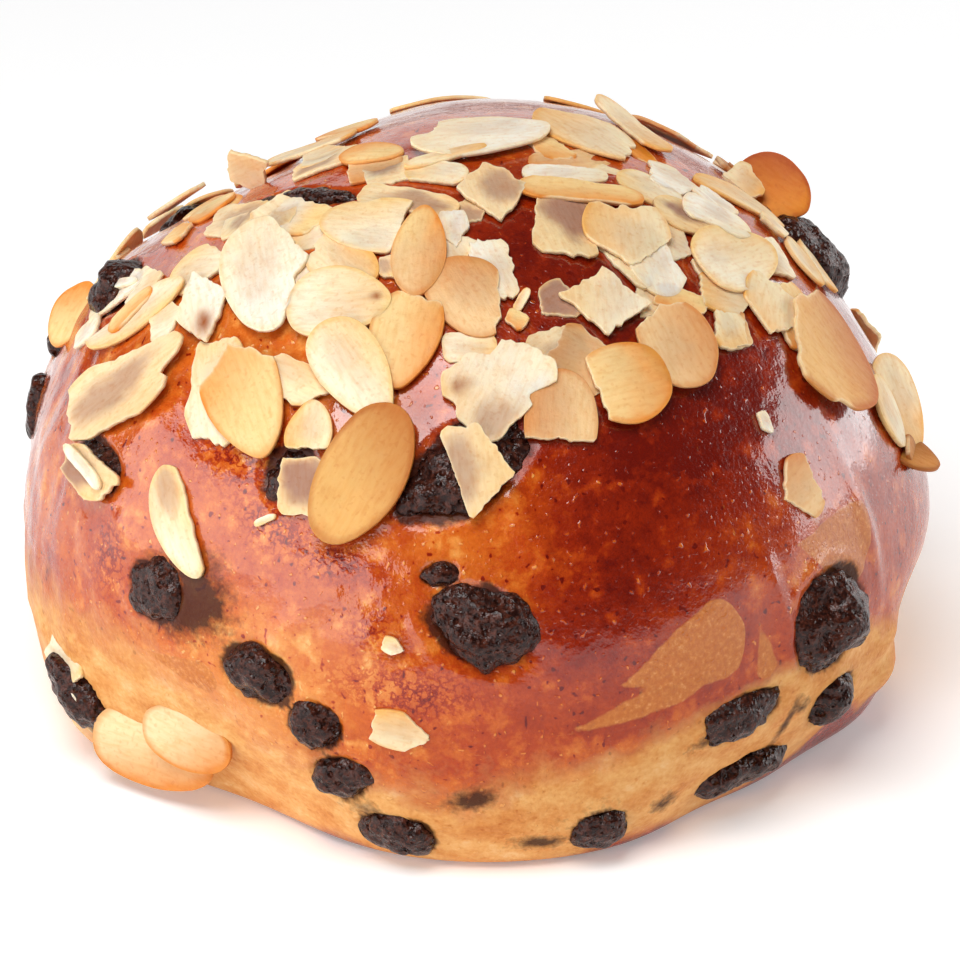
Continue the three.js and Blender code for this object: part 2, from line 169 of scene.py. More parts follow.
class Grain:
    """Smooth noise over space, the same on every run."""

    AXIS_FACTORS = (374761, 668265, 1103515)
    AXIS_MASK = 0xFFFF
    SEED_FACTOR = 127412
    MIXES = ((13, 1274126177), (15, 668265263))
    MASK = 0x7FFFFFFF
    LAST_SHIFT = 16
    LAST_MASK = 0xFFFFF
    LAST_HALF = 0x7FFFF
    LAYER_SEEDS = 17
    LAYER_SUM = 1.4
    FAR = 9.0

    @classmethod
    def corner(cls, cell: np.ndarray, seed: int) -> np.ndarray:
        """Value from -1 to 1 for each whole-numbered lattice corner, by an integer hash.

        Args:
            cell: Rows of three whole numbers.
            seed: Chooses the noise.

        Returns:
            One value for each row.
        """
        whole = cell.astype(np.int64) & cls.AXIS_MASK
        mixed = (whole @ np.array(cls.AXIS_FACTORS) + int(seed) * cls.SEED_FACTOR) & cls.MASK
        for shift, factor in cls.MIXES:
            mixed = ((mixed ^ (mixed >> shift)) * factor) & cls.MASK
        return ((mixed ^ (mixed >> cls.LAST_SHIFT)) & cls.LAST_MASK) / cls.LAST_HALF - 1.0

    @classmethod
    def value(cls, points: np.ndarray, size: float, seed: int) -> np.ndarray:
        """Corner values of a cubic lattice, eased from corner to corner.

        Args:
            points: Rows of x, y and z.
            size: Edge of a lattice cell, in the units of the points.
            seed: Chooses the noise.

        Returns:
            Values from -1 to 1.
        """
        scaled = points / size
        cell = np.floor(scaled)
        ease = eased(*WHOLE_RANGE, scaled - cell)
        total = np.zeros(len(points))
        for corner in np.ndindex(2, 2, 2):
            weight = np.prod(np.where(np.array(corner) == 1, ease, 1.0 - ease), axis=1)
            total += weight * cls.corner(cell + np.array(corner), seed)
        return total

    @classmethod
    def layered(cls, points: np.ndarray, size: float, layers: int, seed: int) -> np.ndarray:
        """Sum of noises, each with half the size and half the height of the one before.

        Args:
            points: Rows of x, y and z.
            size: Cell of the first layer.
            layers: Number of layers.
            seed: Chooses the noise.

        Returns:
            Values mostly from -1 to 1.
        """
        total = np.zeros(len(points))
        for layer in range(layers):
            total += cls.value(points, size / 2**layer, seed + cls.LAYER_SEEDS * layer) / 2**layer
        return total / cls.LAYER_SUM

    @classmethod
    def cells(cls, points: np.ndarray, size: float, seed: int) -> np.ndarray:
        """Distance to the nearest of points scattered one to a lattice cell.

        Args:
            points: Rows of x, y and z.
            size: Edge of a lattice cell.
            seed: Chooses the scattering.

        Returns:
            Distances in shares of the cell.
        """
        scaled = points / size
        cell = np.floor(scaled)
        nearest = np.full(len(points), cls.FAR)
        for step in np.ndindex(3, 3, 3):
            corner = cell + np.array(step) - 1.0
            jitter = np.stack([cls.corner(corner, seed + axis) for axis in range(3)], axis=1)
            nearest = np.minimum(nearest, np.linalg.norm(corner + 0.5 + 0.5 * jitter - scaled, axis=1))
        return nearest


@dataclass(frozen=True)
class Field:
    """A layered noise: height, size of its first cells, layers, seed, and squeeze along x, y and z."""

    height: float
    size: float
    layers: int
    seed: Seed
    squeeze: tuple[float, float, float] = (1.0, 1.0, 1.0)

    def at(self, points: np.ndarray) -> np.ndarray:
        """The noise at points, times its height."""
        return self.height * Grain.layered(points * np.array(self.squeeze), self.size, self.layers, self.seed)


@dataclass(frozen=True)
class Mesh:
    """Vertices in millimetres, faces by index, and values for each vertex."""

    points: np.ndarray
    faces: list[list[int]]
    values: dict[str, np.ndarray]
    uv: np.ndarray | None = None

    @classmethod
    def joined(cls, parts: Sequence["Mesh"]) -> "Mesh":
        """One mesh of several, with their faces renumbered.

        Args:
            parts: Meshes with the same kinds of values.

        Returns:
            The joined mesh.
        """
        starts = np.cumsum([0] + [len(part.points) for part in parts])
        faces = [[i + int(start) for i in face] for part, start in zip(parts, starts) for face in part.faces]
        values = {key: np.concatenate([part.values[key] for part in parts]) for key in parts[0].values}
        uv = None if parts[0].uv is None else np.concatenate([part.uv for part in parts])
        return cls(np.concatenate([part.points for part in parts]), faces, values, uv)

    def piece(
        self, name: str, material: bpy.types.Material, slot: Slot, nodes: Sequence[str]
    ) -> bpy.types.Object:
        """Makes the piece that stands for CAD nodes.

        Args:
            name: Name of the piece.
            material: Its finish.
            slot: The record's material slot; not used.
            nodes: CAD nodes that it replaces.

        Returns:
            The piece, riding on the root body.
        """
        mesh = bpy.data.meshes.new(name)
        mesh.from_pydata((self.points * MM).tolist(), [], self.faces)
        mesh.polygons.foreach_set("use_smooth", np.ones(len(mesh.polygons), bool))
        for key, value in self.values.items():
            if value.ndim == 1:
                mesh.attributes.new(key, "FLOAT", "POINT").data.foreach_set("value", value.astype(np.float32))
            else:
                rgba = np.concatenate([value, np.ones((len(value), 1))], axis=1)
                layer = mesh.attributes.new(key, "FLOAT_COLOR", "POINT")
                layer.data.foreach_set("color", rgba.astype(np.float32).ravel())
        if self.uv is not None:
            corner = np.empty(len(mesh.loops), np.int32)
            mesh.loops.foreach_get("vertex_index", corner)
            mesh.uv_layers.new(name="face").data.foreach_set("uv", self.uv[corner].astype(np.float32).ravel())
        mesh.materials.append(material)
        mesh.update()
        piece = bpy.data.objects.new(name, mesh)
        bpy.context.scene.collection.objects.link(piece)
        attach(piece, "root")
        if nodes:
            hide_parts(*nodes)
        mesh.calc_loop_triangles()
        LOG.info("%s: %d triangles", name, len(mesh.loop_triangles))
        return piece


class BallGrid:
    """A cube's six faces, each a grid, swelled to a unit ball with shared seams."""

    @staticmethod
    def lattice(cells: int) -> tuple[np.ndarray, list[list[int]]]:
        """Unit vectors and quads of the ball.

        Lattice points of the cube's surface are spread by the tangent of equal angles, then set to length 1.

        Args:
            cells: Grid cells along an edge of the cube.

        Returns:
            Unit vectors and quads that face outwards.
        """
        a, b = np.meshgrid(np.arange(cells + 1), np.arange(cells + 1), indexing="ij")
        sheets = []
        quads = []
        for axis in range(3):
            for side in (0, cells):
                sheet = np.empty((cells + 1, cells + 1, 3), int)
                sheet[..., axis] = side
                sheet[..., (axis + 1) % 3] = a
                sheet[..., (axis + 2) % 3] = b
                index = np.arange(a.size).reshape(a.shape) + len(sheets) * a.size
                ring = [index[:-1, :-1], index[1:, :-1], index[1:, 1:], index[:-1, 1:]]
                quads.append(np.stack(ring if side else ring[::-1], axis=-1).reshape(-1, 4))
                sheets.append(sheet.reshape(-1, 3))
        corners, shared = np.unique(np.concatenate(sheets), axis=0, return_inverse=True)
        spread = np.tan((2.0 * corners / cells - 1.0) * math.pi / 4.0)
        return unit(spread), shared.reshape(-1)[np.concatenate(quads)].tolist()


@dataclass(frozen=True)
class Lump:
    """A swell or dip of the dough: place, spread in degrees and height."""

    at: Place
    spread: float
    height: float


@dataclass(frozen=True)
class Spot:
    """Frame on the crust: a point, the way out, the level way to the right and the way downhill."""

    point: np.ndarray
    out: np.ndarray
    level: np.ndarray
    downhill: np.ndarray


@dataclass(frozen=True)
class Dough:
    """The bare dome: an ellipsoid with lumps, cut flat below with a round heel, leaning to the right."""

    half: tuple[float, float, float] = (55.0, 54.0, 48.5)
    centre_height: float = 22.5
    heel_round: float = 2.5
    lean: float = 1.5
    slope_step: float = 0.5
    lumps: tuple[Lump, ...] = (
        Lump((101, 61), 13, -1.6),
        Lump((84, 88), 9, 1.5),
        Lump((78, 100), 5, -2.0),
        Lump((71, 108), 6, 1.6),
        Lump((57, 113), 7, -1.4),
        Lump((38, 113), 8, -2.6),
        Lump((6, 113), 22, 2.1),
        Lump((-36, 112), 13, -4.6),
        Lump((-70, 109), 9, 1.6),
        Lump((-100, 64), 10, 1.4),
        Lump((-124, 42), 14, -3.2),
        Lump((180, 18), 22, 0.7),
    )

    def along(self, units: np.ndarray) -> np.ndarray:
        """Points of the crust along unit vectors.

        The radius is the ellipsoid's plus, for each lump, its height times a bell over the angle in spreads.
        Heights near the floor are eased onto it by a parabola, and x leans in step with height.

        Args:
            units: Rows of unit vectors.

        Returns:
            Rows of points in millimetres.
        """
        radius = 1.0 / np.linalg.norm(units / np.array(self.half), axis=1)
        for lump in self.lumps:
            angle = np.degrees(np.arccos(np.clip(units @ direction(lump.at), -1.0, 1.0)))
            radius = radius + lump.height * bell(angle / lump.spread)
        points = units * radius[:, None]
        z = points[:, 2] + self.centre_height
        heel = self.heel_round
        points[:, 2] = np.where(z > heel, z, np.clip(z + heel, 0.0, None) ** 2 / (4.0 * heel))
        points[:, 0] += self.lean * points[:, 2] / (self.centre_height + self.half[2])
        return points

    def spot(self, place: Place) -> Spot:
        """Frame on the crust at a place, from small steps to the right and downhill.

        Args:
            place: Azimuth and polar angle.

        Returns:
            The frame.
        """
        step = self.slope_step
        near = [place, (place[0], place[1] + step), (place[0] + step, place[1])]
        point, below, beside = self.along(direction(near))
        level = unit(beside - point)
        out = unit(np.cross(below - point, level))
        return Spot(point, out, level, np.cross(level, out))


@dataclass(frozen=True)
class RimWear:
    """How the rim of a slice wanders where it has grown and frays where it is broken."""

    broken: Span = (0.995, 0.965)
    spread: float = 2.0
    seed_step: float = 3.7
    wander: float = 0.06
    wander_size: float = 1.5
    fray: Field = Field(1.0, 0.5, 3, Seed.FRAY)
    grown_fray: float = 0.008
    broken_fray: float = 0.11


class Outline(Enum):
    """Outlines of slices: sharpness of the ends, egg shape, and straight breaks as (direction, distance)."""

    WHOLE = (1.12, 0.2, ())
    OVAL = (0.92, 0.05, ())
    ROUND = (0.8, 0.08, ((200, 0.84),))
    HALF = (0.95, 0.1, ((180, 0.45),))
    KITE = (1.0, 0.1, ((42, 0.66), (-48, 0.62), (138, 0.68), (-140, 0.64)))
    SHARD = (1.0, 0.15, ((35, 0.5), (-30, 0.56), (180, 0.72)))
    CHUNK = (0.85, 0.05, ((68, 0.74), (172, 0.8), (-118, 0.72), (-24, 0.86)))
    WEDGE = (0.9, 0.0, ((123, 0.72), (36, 0.75), (-76, 0.42), (180, 0.9)))
    STRIP = (0.75, 0.1, ((90, 0.8), (-84, 0.76)))
    STUB = (0.8, 0.05, ((0, 0.62),))
    PANE = (0.5, 0.0, ((4, 0.86), (176, 0.84), (86, 0.8), (-94, 0.78)))

    def rim(
        self,
        angles: np.ndarray,
        cuts: Sequence[Place],
        bites: Sequence[Bite],
        seed: int,
        wear: RimWear,
    ) -> tuple[np.ndarray, np.ndarray]:
        """Rim of a slice of half size 1 by 1.

        The rim is (cos, sign times the sine's size to the power of sharpness times 1 minus egg cos), pulled
        in towards the middle wherever it would pass a straight break, a cut or a bite. Broken stretches are
        ragged, and the grown edge wanders slowly.

        Args:
            angles: Angles round the slice in radians.
            cuts: Direction and distance of further straight breaks.
            bites: Direction in degrees, depth and half width in degrees of each notch.
            seed: Chooses the wandering.
            wear: How much it wanders and frays.

        Returns:
            Rows of along and across, and 1 where the rim is broken.
        """
        point, egg, breaks = self.value
        along = np.cos(angles)
        across = np.sign(np.sin(angles)) * np.abs(np.sin(angles)) ** point * (1.0 - egg * along)
        reach = np.ones_like(angles)
        for way, distance in (*breaks, *cuts):
            towards = along * math.cos(math.radians(way)) + across * math.sin(math.radians(way))
            reach = np.minimum(reach, distance / np.maximum(towards, distance))
        for way, depth, half_width in bites:
            away = np.abs(turned(np.degrees(angles) - way))
            reach = reach * (1.0 - depth * np.sqrt(np.clip(1.0 - away / half_width, 0.0, 1.0)))
        broken = eased(*wear.broken, reach)
        ring = np.stack([along, across], axis=1) * wear.spread
        ring = np.concatenate([ring, np.full((len(angles), 1), wear.seed_step * seed)], axis=1)
        slow = Grain.value(ring, wear.wander_size, Seed.WANDER)
        ragged = wear.fray.at(ring)
        reach = reach * (1.0 + wear.wander * slow + (wear.grown_fray + wear.broken_fray * broken) * ragged)
        return np.stack([along * reach, across * reach], axis=1), broken


class Tone(Enum):
    """Bake of an almond slice: colour of its face, colour of its toasted side, and how clear its soak is."""

    WHITE = ((255, 243, 224), (253, 228, 188), 0.3)
    PALE = ((255, 237, 206), (250, 206, 140), 0.25)
    CREAM = ((255, 230, 188), (246, 184, 106), 0.25)
    GOLD = ((253, 214, 150), (236, 150, 66), 0.0)
    HONEY = ((252, 222, 172), (222, 140, 62), 0.0)
    TAN = ((247, 204, 150), (224, 150, 86), 0.2)
    CARAMEL = ((236, 182, 108), (186, 112, 46), 0.0)
    ORANGE = ((240, 186, 112), (196, 112, 46), 0.0)
    AMBER = ((240, 148, 44), (182, 84, 18), 0.0)
    TOAST = ((208, 140, 70), (152, 82, 32), 0.0)
    GREY = ((244, 216, 174), (248, 206, 142), 0.8)
    MAUVE = ((250, 220, 174), (250, 208, 150), 0.95)
    DARK = ((244, 212, 162), (246, 204, 144), 1.25)


@dataclass(frozen=True)
class Slice:
    """An almond slice between two places on the crust, lifted at both ends and rolled about its length.

    Directions on its face are degrees from its end, anticlockwise. Soak is the middle and reach of its clear
    part, stain the middle and size of a brown spot, and toast_way the direction of its toasted side.
    """

    start: Place
    end: Place
    width: float
    outline: Outline
    lift: Span
    tone: Tone
    end_tone: Tone | None = None
    roll: float = 0.0
    cuts: tuple[Place, ...] = ()
    bites: tuple[Bite, ...] = ()
    soak: tuple[float, float, float, float] | None = None
    stain: Stain | None = None
    toast_way: float | None = None


# Slices on the crown
CROWN = (
    Slice(
        (-59, 9.5), (94, 9), 9, Outline.WHOLE, (0.6, 0.6), Tone.WHITE,
        bites=((140, 0.25, 22),), toast_way=150,
    ),
    Slice(
        (2, 10.3), (8, 23), 8.5, Outline.KITE, (0.9, 0.6), Tone.MAUVE,
        bites=((100, 0.2, 20),), soak=(-0.1, 0.3, 0.6, 0.6),
    ),
    Slice(
        (135, 14), (82, 20.7), 10, Outline.WHOLE, (0.5, 0.5), Tone.CREAM,
        cuts=((30, 0.8), (150, 0.75)), toast_way=200,
    ),
    Slice((138, 26.5), (99, 26), 5, Outline.STRIP, (1.2, 0.2), Tone.CREAM, toast_way=0),
    Slice(
        (21, 17.3), (58, 26), 4.5, Outline.STRIP, (0.9, 0.9), Tone.GOLD,
        bites=((70, 0.3, 30),), toast_way=-90,
    ),
    Slice((29, 14), (62, 19.5), 4, Outline.STRIP, (0.2, 0.2), Tone.WHITE, bites=((60, 0.2, 25),)),
    Slice((30.5, 19), (27, 31.5), 8.5, Outline.CHUNK, (0.2, 0.2), Tone.DARK, soak=(-0.25, 0.3, 0.75, 0.75)),
    Slice(
        (52, 24.5), (36, 37.5), 9.5, Outline.SHARD, (0.9, 0.9), Tone.CREAM,
        bites=((165, 0.16, 12), (198, 0.2, 12)),
    ),
    Slice((63, 28), (66.5, 36), 5, Outline.WHOLE, (0.5, 0.5), Tone.DARK, soak=(0.0, 0.2, 0.7, 0.6)),
    Slice((108, 20.5), (88, 25), 4, Outline.CHUNK, (0.1, 0.1), Tone.AMBER),
    Slice((76, 7), (65, 14), 4.5, Outline.CHUNK, (0.2, 0.2), Tone.GOLD),
    Slice(
        (46.7, 26), (36.5, 39.5), 8, Outline.KITE, (0.3, 0.3), Tone.CREAM,
        bites=((170, 0.2, 14), (200, 0.15, 12)),
    ),
    Slice((68, 21.3), (69, 31.8), 5, Outline.WHOLE, (0.4, 0.4), Tone.PALE),
    Slice((-48, 21.3), (-9, 21), 4.5, Outline.STRIP, (0.1, 0.1), Tone.MAUVE, soak=(0.1, 0.0, 0.8, 0.7)),
    Slice((-82, 19), (-62, 12.2), 4.5, Outline.WHOLE, (0.7, 0.7), Tone.GOLD),
    Slice((-69, 22), (-56.7, 13.1), 5.5, Outline.HALF, (0.3, 0.3), Tone.TAN),
    Slice((-108, 32), (-112, 19.5), 5, Outline.STRIP, (1.0, 0.3), Tone.CREAM),
    Slice((-83, 27), (-90, 17), 5.5, Outline.CHUNK, (0.2, 0.2), Tone.MAUVE),
)


# Slices on the left shoulder and side
LEFT_SHOULDER = (
    Slice(
        (-99, 37), (-91, 29.5), 6.4, Outline.KITE, (-0.6, -0.6), Tone.CREAM,
        roll=-80, bites=((30, 0.2, 16),),
    ),
    Slice((-90, 36.5), (-95, 43), 6, Outline.WHOLE, (0.3, 0.3), Tone.GOLD),
    Slice((-86, 42.5), (-89, 46.5), 4.5, Outline.CHUNK, (0.5, 0.5), Tone.GOLD),
    Slice((-80, 40), (-72, 32), 7, Outline.CHUNK, (0.1, 0.1), Tone.GREY, soak=(0.3, 0.0, 0.7, 0.7)),
    Slice((-72.6, 46), (-61.5, 41), 7, Outline.WHOLE, (0.4, 0.4), Tone.PALE, cuts=((-35, 0.7), (60, 0.75))),
    Slice(
        (-66, 44.3), (-49, 50.8), 7, Outline.KITE, (0.8, 0.8), Tone.WHITE,
        soak=(0.5, 0.0, 0.4, 0.45), stain=(0.4, 0.05, 0.2),
    ),
    Slice(
        (-76, 60.3), (-66, 46.7), 5.5, Outline.WHOLE, (0.5, 0.5), Tone.PALE,
        cuts=((130, 0.6),), toast_way=-80,
    ),
    Slice((-95, 60), (-89.5, 67), 5.4, Outline.WHOLE, (-0.6, -0.6), Tone.GOLD, roll=-35),
    Slice(
        (-67.7, 70.2), (-54.2, 53.2), 10.5, Outline.CHUNK, (0.6, 0.6), Tone.MAUVE,
        bites=((-20, 0.25, 12),), soak=(-0.1, 0.15, 0.8, 0.45), toast_way=-80,
    ),
    Slice(
        (-46, 67.3), (-36.8, 77.2), 6, Outline.WHOLE, (0.3, 0.3), Tone.GREY, Tone.PALE,
        cuts=((75, 0.6),), bites=((135, 0.2, 16),), soak=(-0.5, 0.0, 0.5, 0.6),
    ),
    Slice((-66, 73), (-53, 71.5), 5.4, Outline.CHUNK, (1.0, 1.0), Tone.DARK, soak=(-0.3, 0.0, 0.7, 0.8)),
)


# Slices above the front
BROW = (
    Slice(
        (-63, 34.3), (-38.5, 45.3), 10, Outline.WHOLE, (0.5, 0.5), Tone.WHITE,
        cuts=((125, 0.8), (50, 0.74)), bites=((68, 0.16, 10),), toast_way=180,
    ),
    Slice((-67, 32.3), (-50, 27.8), 6.5, Outline.CHUNK, (0.3, 0.3), Tone.WHITE, Tone.GOLD),
    Slice(
        (-16, 25.5), (-48, 28.5), 8, Outline.HALF, (0.6, 0.6), Tone.PALE,
        bites=((-70, 0.12, 12),), soak=(-0.1, 0.6, 0.5, 0.4),
    ),
    Slice((-44, 31.5), (-25, 36), 6.5, Outline.ROUND, (0.3, 0.3), Tone.CREAM, toast_way=90),
    Slice((-13.5, 36.3), (-20, 21.8), 5.6, Outline.WHOLE, (0.8, 0.8), Tone.TAN, Tone.GOLD, toast_way=-90),
    Slice(
        (-38, 41.7), (-19.5, 38.3), 8.5, Outline.WHOLE, (0.7, 0.7), Tone.PALE,
        stain=(0.72, 0.1, 0.09), toast_way=20,
    ),
    Slice(
        (-13.6, 36.5), (-13.2, 49.5), 7.4, Outline.WHOLE, (1.0, 1.0), Tone.GOLD,
        cuts=((170, 0.8),), toast_way=90,
    ),
    Slice((-28.3, 44), (-14, 53.6), 7.2, Outline.WHOLE, (1.4, 1.4), Tone.PALE, toast_way=110),
    Slice(
        (-36.5, 49.8), (-24.5, 51.8), 6, Outline.CHUNK, (0.4, 0.4), Tone.CREAM,
        cuts=((90, 0.5),), toast_way=90,
    ),
    Slice((-50.5, 49.5), (-38.5, 61), 8, Outline.CHUNK, (0.2, 0.2), Tone.PALE, bites=((-90, 0.15, 14),)),
    Slice(
        (-46, 49.6), (-30.7, 60.7), 9, Outline.WHOLE, (0.9, 0.9), Tone.GOLD,
        cuts=((150, 0.72), (200, 0.7)), soak=(0.85, 0.1, 0.2, 0.35), toast_way=200,
    ),
    Slice((-24.2, 60.5), (-25.7, 53.8), 5, Outline.WHOLE, (1.2, 0.6), Tone.CREAM, cuts=((180, 0.6),)),
    Slice((-24.5, 60.3), (-23, 67.3), 6.5, Outline.PANE, (1.2, 0.5), Tone.DARK, soak=(-0.2, 0.0, 0.8, 0.8)),
    Slice((-12, 54), (-18.8, 69.2), 9, Outline.OVAL, (1.2, 1.2), Tone.CARAMEL, toast_way=160),
    Slice(
        (-7.5, 31), (2.8, 41.5), 8.2, Outline.WHOLE, (0.7, 0.7), Tone.TAN,
        cuts=((60, 0.72),), bites=((20, 0.15, 14),),
    ),
    Slice((-10.5, 20.5), (-5.5, 29.5), 3.2, Outline.SHARD, (0.3, 0.3), Tone.WHITE, bites=((70, 0.2, 20),)),
    Slice(
        (-0.5, 26.5), (6.5, 36.5), 6, Outline.CHUNK, (0.3, 0.3), Tone.WHITE,
        bites=((60, 0.15, 15), (110, 0.12, 12)),
    ),
    Slice(
        (8, 42.5), (0, 55.5), 11.4, Outline.CHUNK, (0.8, 0.8), Tone.WHITE, Tone.GREY,
        cuts=((30, 0.9),), bites=((212, 0.3, 30), (92, 0.2, 12)),
        soak=(0.6, 0.3, 0.4, 0.5), stain=(0.3, -0.6, 0.1),
    ),
    Slice((-6, 44), (3, 43.5), 4, Outline.STRIP, (0.2, 0.2), Tone.PALE, bites=((80, 0.3, 25),)),
    Slice(
        (-1.5, 54.8), (0.5, 65.2), 8.5, Outline.WEDGE, (2.3, 1.5), Tone.GREY,
        soak=(0.0, -0.2, 0.8, 0.4), toast_way=90,
    ),
)


# Slices on the right shoulder and side
RIGHT_SHOULDER = (
    Slice((46.5, 32.5), (41, 40.3), 6.5, Outline.ROUND, (0.5, 0.5), Tone.WHITE, bites=((110, 0.4, 40),)),
    Slice(
        (29.5, 34.4), (24.6, 44), 10, Outline.KITE, (0.9, 0.9), Tone.PALE,
        bites=((40, 0.1, 10),), toast_way=-100,
    ),
    Slice((13.3, 44), (24.3, 49.5), 8, Outline.CHUNK, (0.2, 0.2), Tone.TAN, soak=(0.0, 0.2, 0.7, 0.6)),
    Slice((22, 36), (12, 40), 5, Outline.SHARD, (0.2, 0.2), Tone.DARK, soak=(0.0, 0.0, 1.2, 1.2)),
    Slice((37, 42), (36.5, 53), 9, Outline.ROUND, (0.9, 0.9), Tone.TAN, bites=((165, 0.14, 14),)),
    Slice((37.5, 40.2), (48.5, 44), 4, Outline.CHUNK, (0.3, 0.3), Tone.GOLD),
    Slice((50.3, 45.5), (47.7, 51.3), 5, Outline.CHUNK, (0.4, 0.4), Tone.CREAM, cuts=((10, 0.7),)),
    Slice((31.5, 51), (17.5, 51.3), 8.6, Outline.STUB, (1.3, 1.3), Tone.GOLD, toast_way=180),
    Slice(
        (12, 59.5), (14.5, 48.3), 7.8, Outline.HALF, (0.7, 0.7), Tone.TAN,
        bites=((175, 0.12, 14),), toast_way=75,
    ),
    Slice((53, 39), (74, 43), 8.5, Outline.WHOLE, (0.6, 0.6), Tone.PALE, soak=(-0.2, 0.2, 0.5, 0.4)),
    Slice(
        (48.5, 41), (60.5, 47.5), 5.5, Outline.SHARD, (0.5, 0.5), Tone.CREAM,
        bites=((10, 0.25, 18), (-25, 0.2, 12)),
    ),
    Slice(
        (67.5, 46.3), (54.5, 52.3), 7.5, Outline.SHARD, (0.8, 0.8), Tone.CREAM,
        soak=(0.8, 0.0, 0.35, 0.5),
    ),
    Slice(
        (64, 50), (69, 65.5), 14, Outline.OVAL, (0.8, 0.8), Tone.ORANGE,
        cuts=((-150, 0.72), (160, 0.85)), bites=((-60, 0.08, 12),), toast_way=60,
    ),
    Slice((112, 41.5), (103, 49.5), 7.5, Outline.WHOLE, (-1.5, 0), Tone.AMBER, roll=70, toast_way=120),
    Slice((110, 39), (104, 43.5), 4.6, Outline.CHUNK, (-1.0, -1.0), Tone.CREAM, roll=55),
    Slice((90, 31.5), (96, 45.8), 5, Outline.WHOLE, (0.5, 0.5), Tone.CREAM),
    Slice((82, 31), (82, 37.5), 4.5, Outline.CHUNK, (0.4, 0.4), Tone.WHITE),
    Slice((90, 47), (82.5, 52.3), 5, Outline.WHOLE, (0.4, 0.4), Tone.CREAM),
    Slice((76.5, 66), (76, 75), 6, Outline.WHOLE, (0.4, 0.4), Tone.PALE),
    Slice((84, 66), (79.5, 77), 6.4, Outline.WHOLE, (-0.6, -0.6), Tone.CREAM, roll=30),
    Slice((77, 75.5), (77.5, 79.5), 5, Outline.WHOLE, (-1, 3.2), Tone.TOAST),
    Slice((52, 69.5), (43.8, 70.6), 7, Outline.SHARD, (0.2, 0.2), Tone.TAN),
)


# Slices low on the sides
LOW = (
    Slice((-57, 107), (-38, 107.5), 9, Outline.OVAL, (-0.9, -0.9), Tone.HONEY, roll=-35, toast_way=-70),
    Slice((-47.5, 102.5), (-34, 103.5), 7, Outline.OVAL, (-0.4, -0.4), Tone.HONEY, roll=-30, toast_way=-30),
    Slice((-67.5, 99), (-59.5, 100), 5, Outline.CHUNK, (-0.5, -0.5), Tone.PALE, roll=-20),
    Slice((-12.5, 91.5), (-3, 93), 4.5, Outline.SHARD, (0.2, 0.2), Tone.CREAM),
)


# Slices tucked under and between the others
TUCKED = (
    Slice((-65.5, 53.5), (-61, 48), 6, Outline.SHARD, (0.3, 0.3), Tone.PALE),
    Slice((-71, 39), (-74, 33), 6, Outline.KITE, (0.2, 0.2), Tone.MAUVE),
    Slice((-75, 31), (-54, 31), 6, Outline.SHARD, (0.2, 0.2), Tone.CREAM),
    Slice((-50, 34), (-46, 28), 5, Outline.CHUNK, (0.1, 0.1), Tone.PALE),
    Slice((-41, 35), (-39, 40.5), 5, Outline.SHARD, (0.1, 0.1), Tone.WHITE),
    Slice((-57, 19), (-45, 13), 6, Outline.PANE, (0.2, 0.2), Tone.MAUVE),
    Slice((-43, 14), (-9, 13.5), 4.5, Outline.STRIP, (0.2, 0.5), Tone.PALE),
    Slice((-13, 25), (-4, 32), 6, Outline.KITE, (0.1, 0.1), Tone.PALE),
    Slice((-10, 18.5), (3, 23), 5, Outline.SHARD, (0.1, 0.1), Tone.MAUVE),
    Slice((11, 47), (20, 43), 7, Outline.CHUNK, (0.1, 0.1), Tone.GREY),
    Slice((36, 37.5), (41, 43.5), 7, Outline.KITE, (0.1, 0.1), Tone.CREAM),
    Slice((52, 31), (56, 37.5), 7, Outline.SHARD, (0.0, 0.0), Tone.PALE),
    Slice((69.5, 31), (74.5, 39.5), 5.5, Outline.STRIP, (1.0, 0.9), Tone.WHITE),
    Slice((56, 37), (58.5, 45), 7, Outline.CHUNK, (0.1, 0.1), Tone.CREAM),
    Slice((74, 40), (76, 48.5), 8, Outline.KITE, (0.3, 0.3), Tone.PALE),
    Slice((69, 46.5), (66, 54), 7, Outline.SHARD, (0.3, 0.3), Tone.GOLD),
    Slice((48.5, 46), (52.5, 52), 5, Outline.SHARD, (0.2, 0.2), Tone.TAN),
    Slice((62, 18), (68, 25.5), 5, Outline.STRIP, (0.0, 0.0), Tone.CREAM),
    Slice((80, 23.5), (83, 33), 6, Outline.SHARD, (0.3, 0.3), Tone.WHITE),
    Slice((-86, 59), (-80, 51), 5.5, Outline.STRIP, (0.3, 0.6), Tone.WHITE),
    Slice((-79, 54), (-75, 46.5), 6, Outline.SHARD, (0.2, 0.2), Tone.PALE),
    Slice((-104, 45), (-87, 36), 5.5, Outline.STRIP, (0.4, 0.2), Tone.GOLD),
    Slice((-129, 29), (-123, 18.5), 5, Outline.STRIP, (0.6, 0.3), Tone.GOLD),
    Slice((-94, 26), (-95, 17.5), 6, Outline.SHARD, (0.3, 0.3), Tone.CREAM),
)


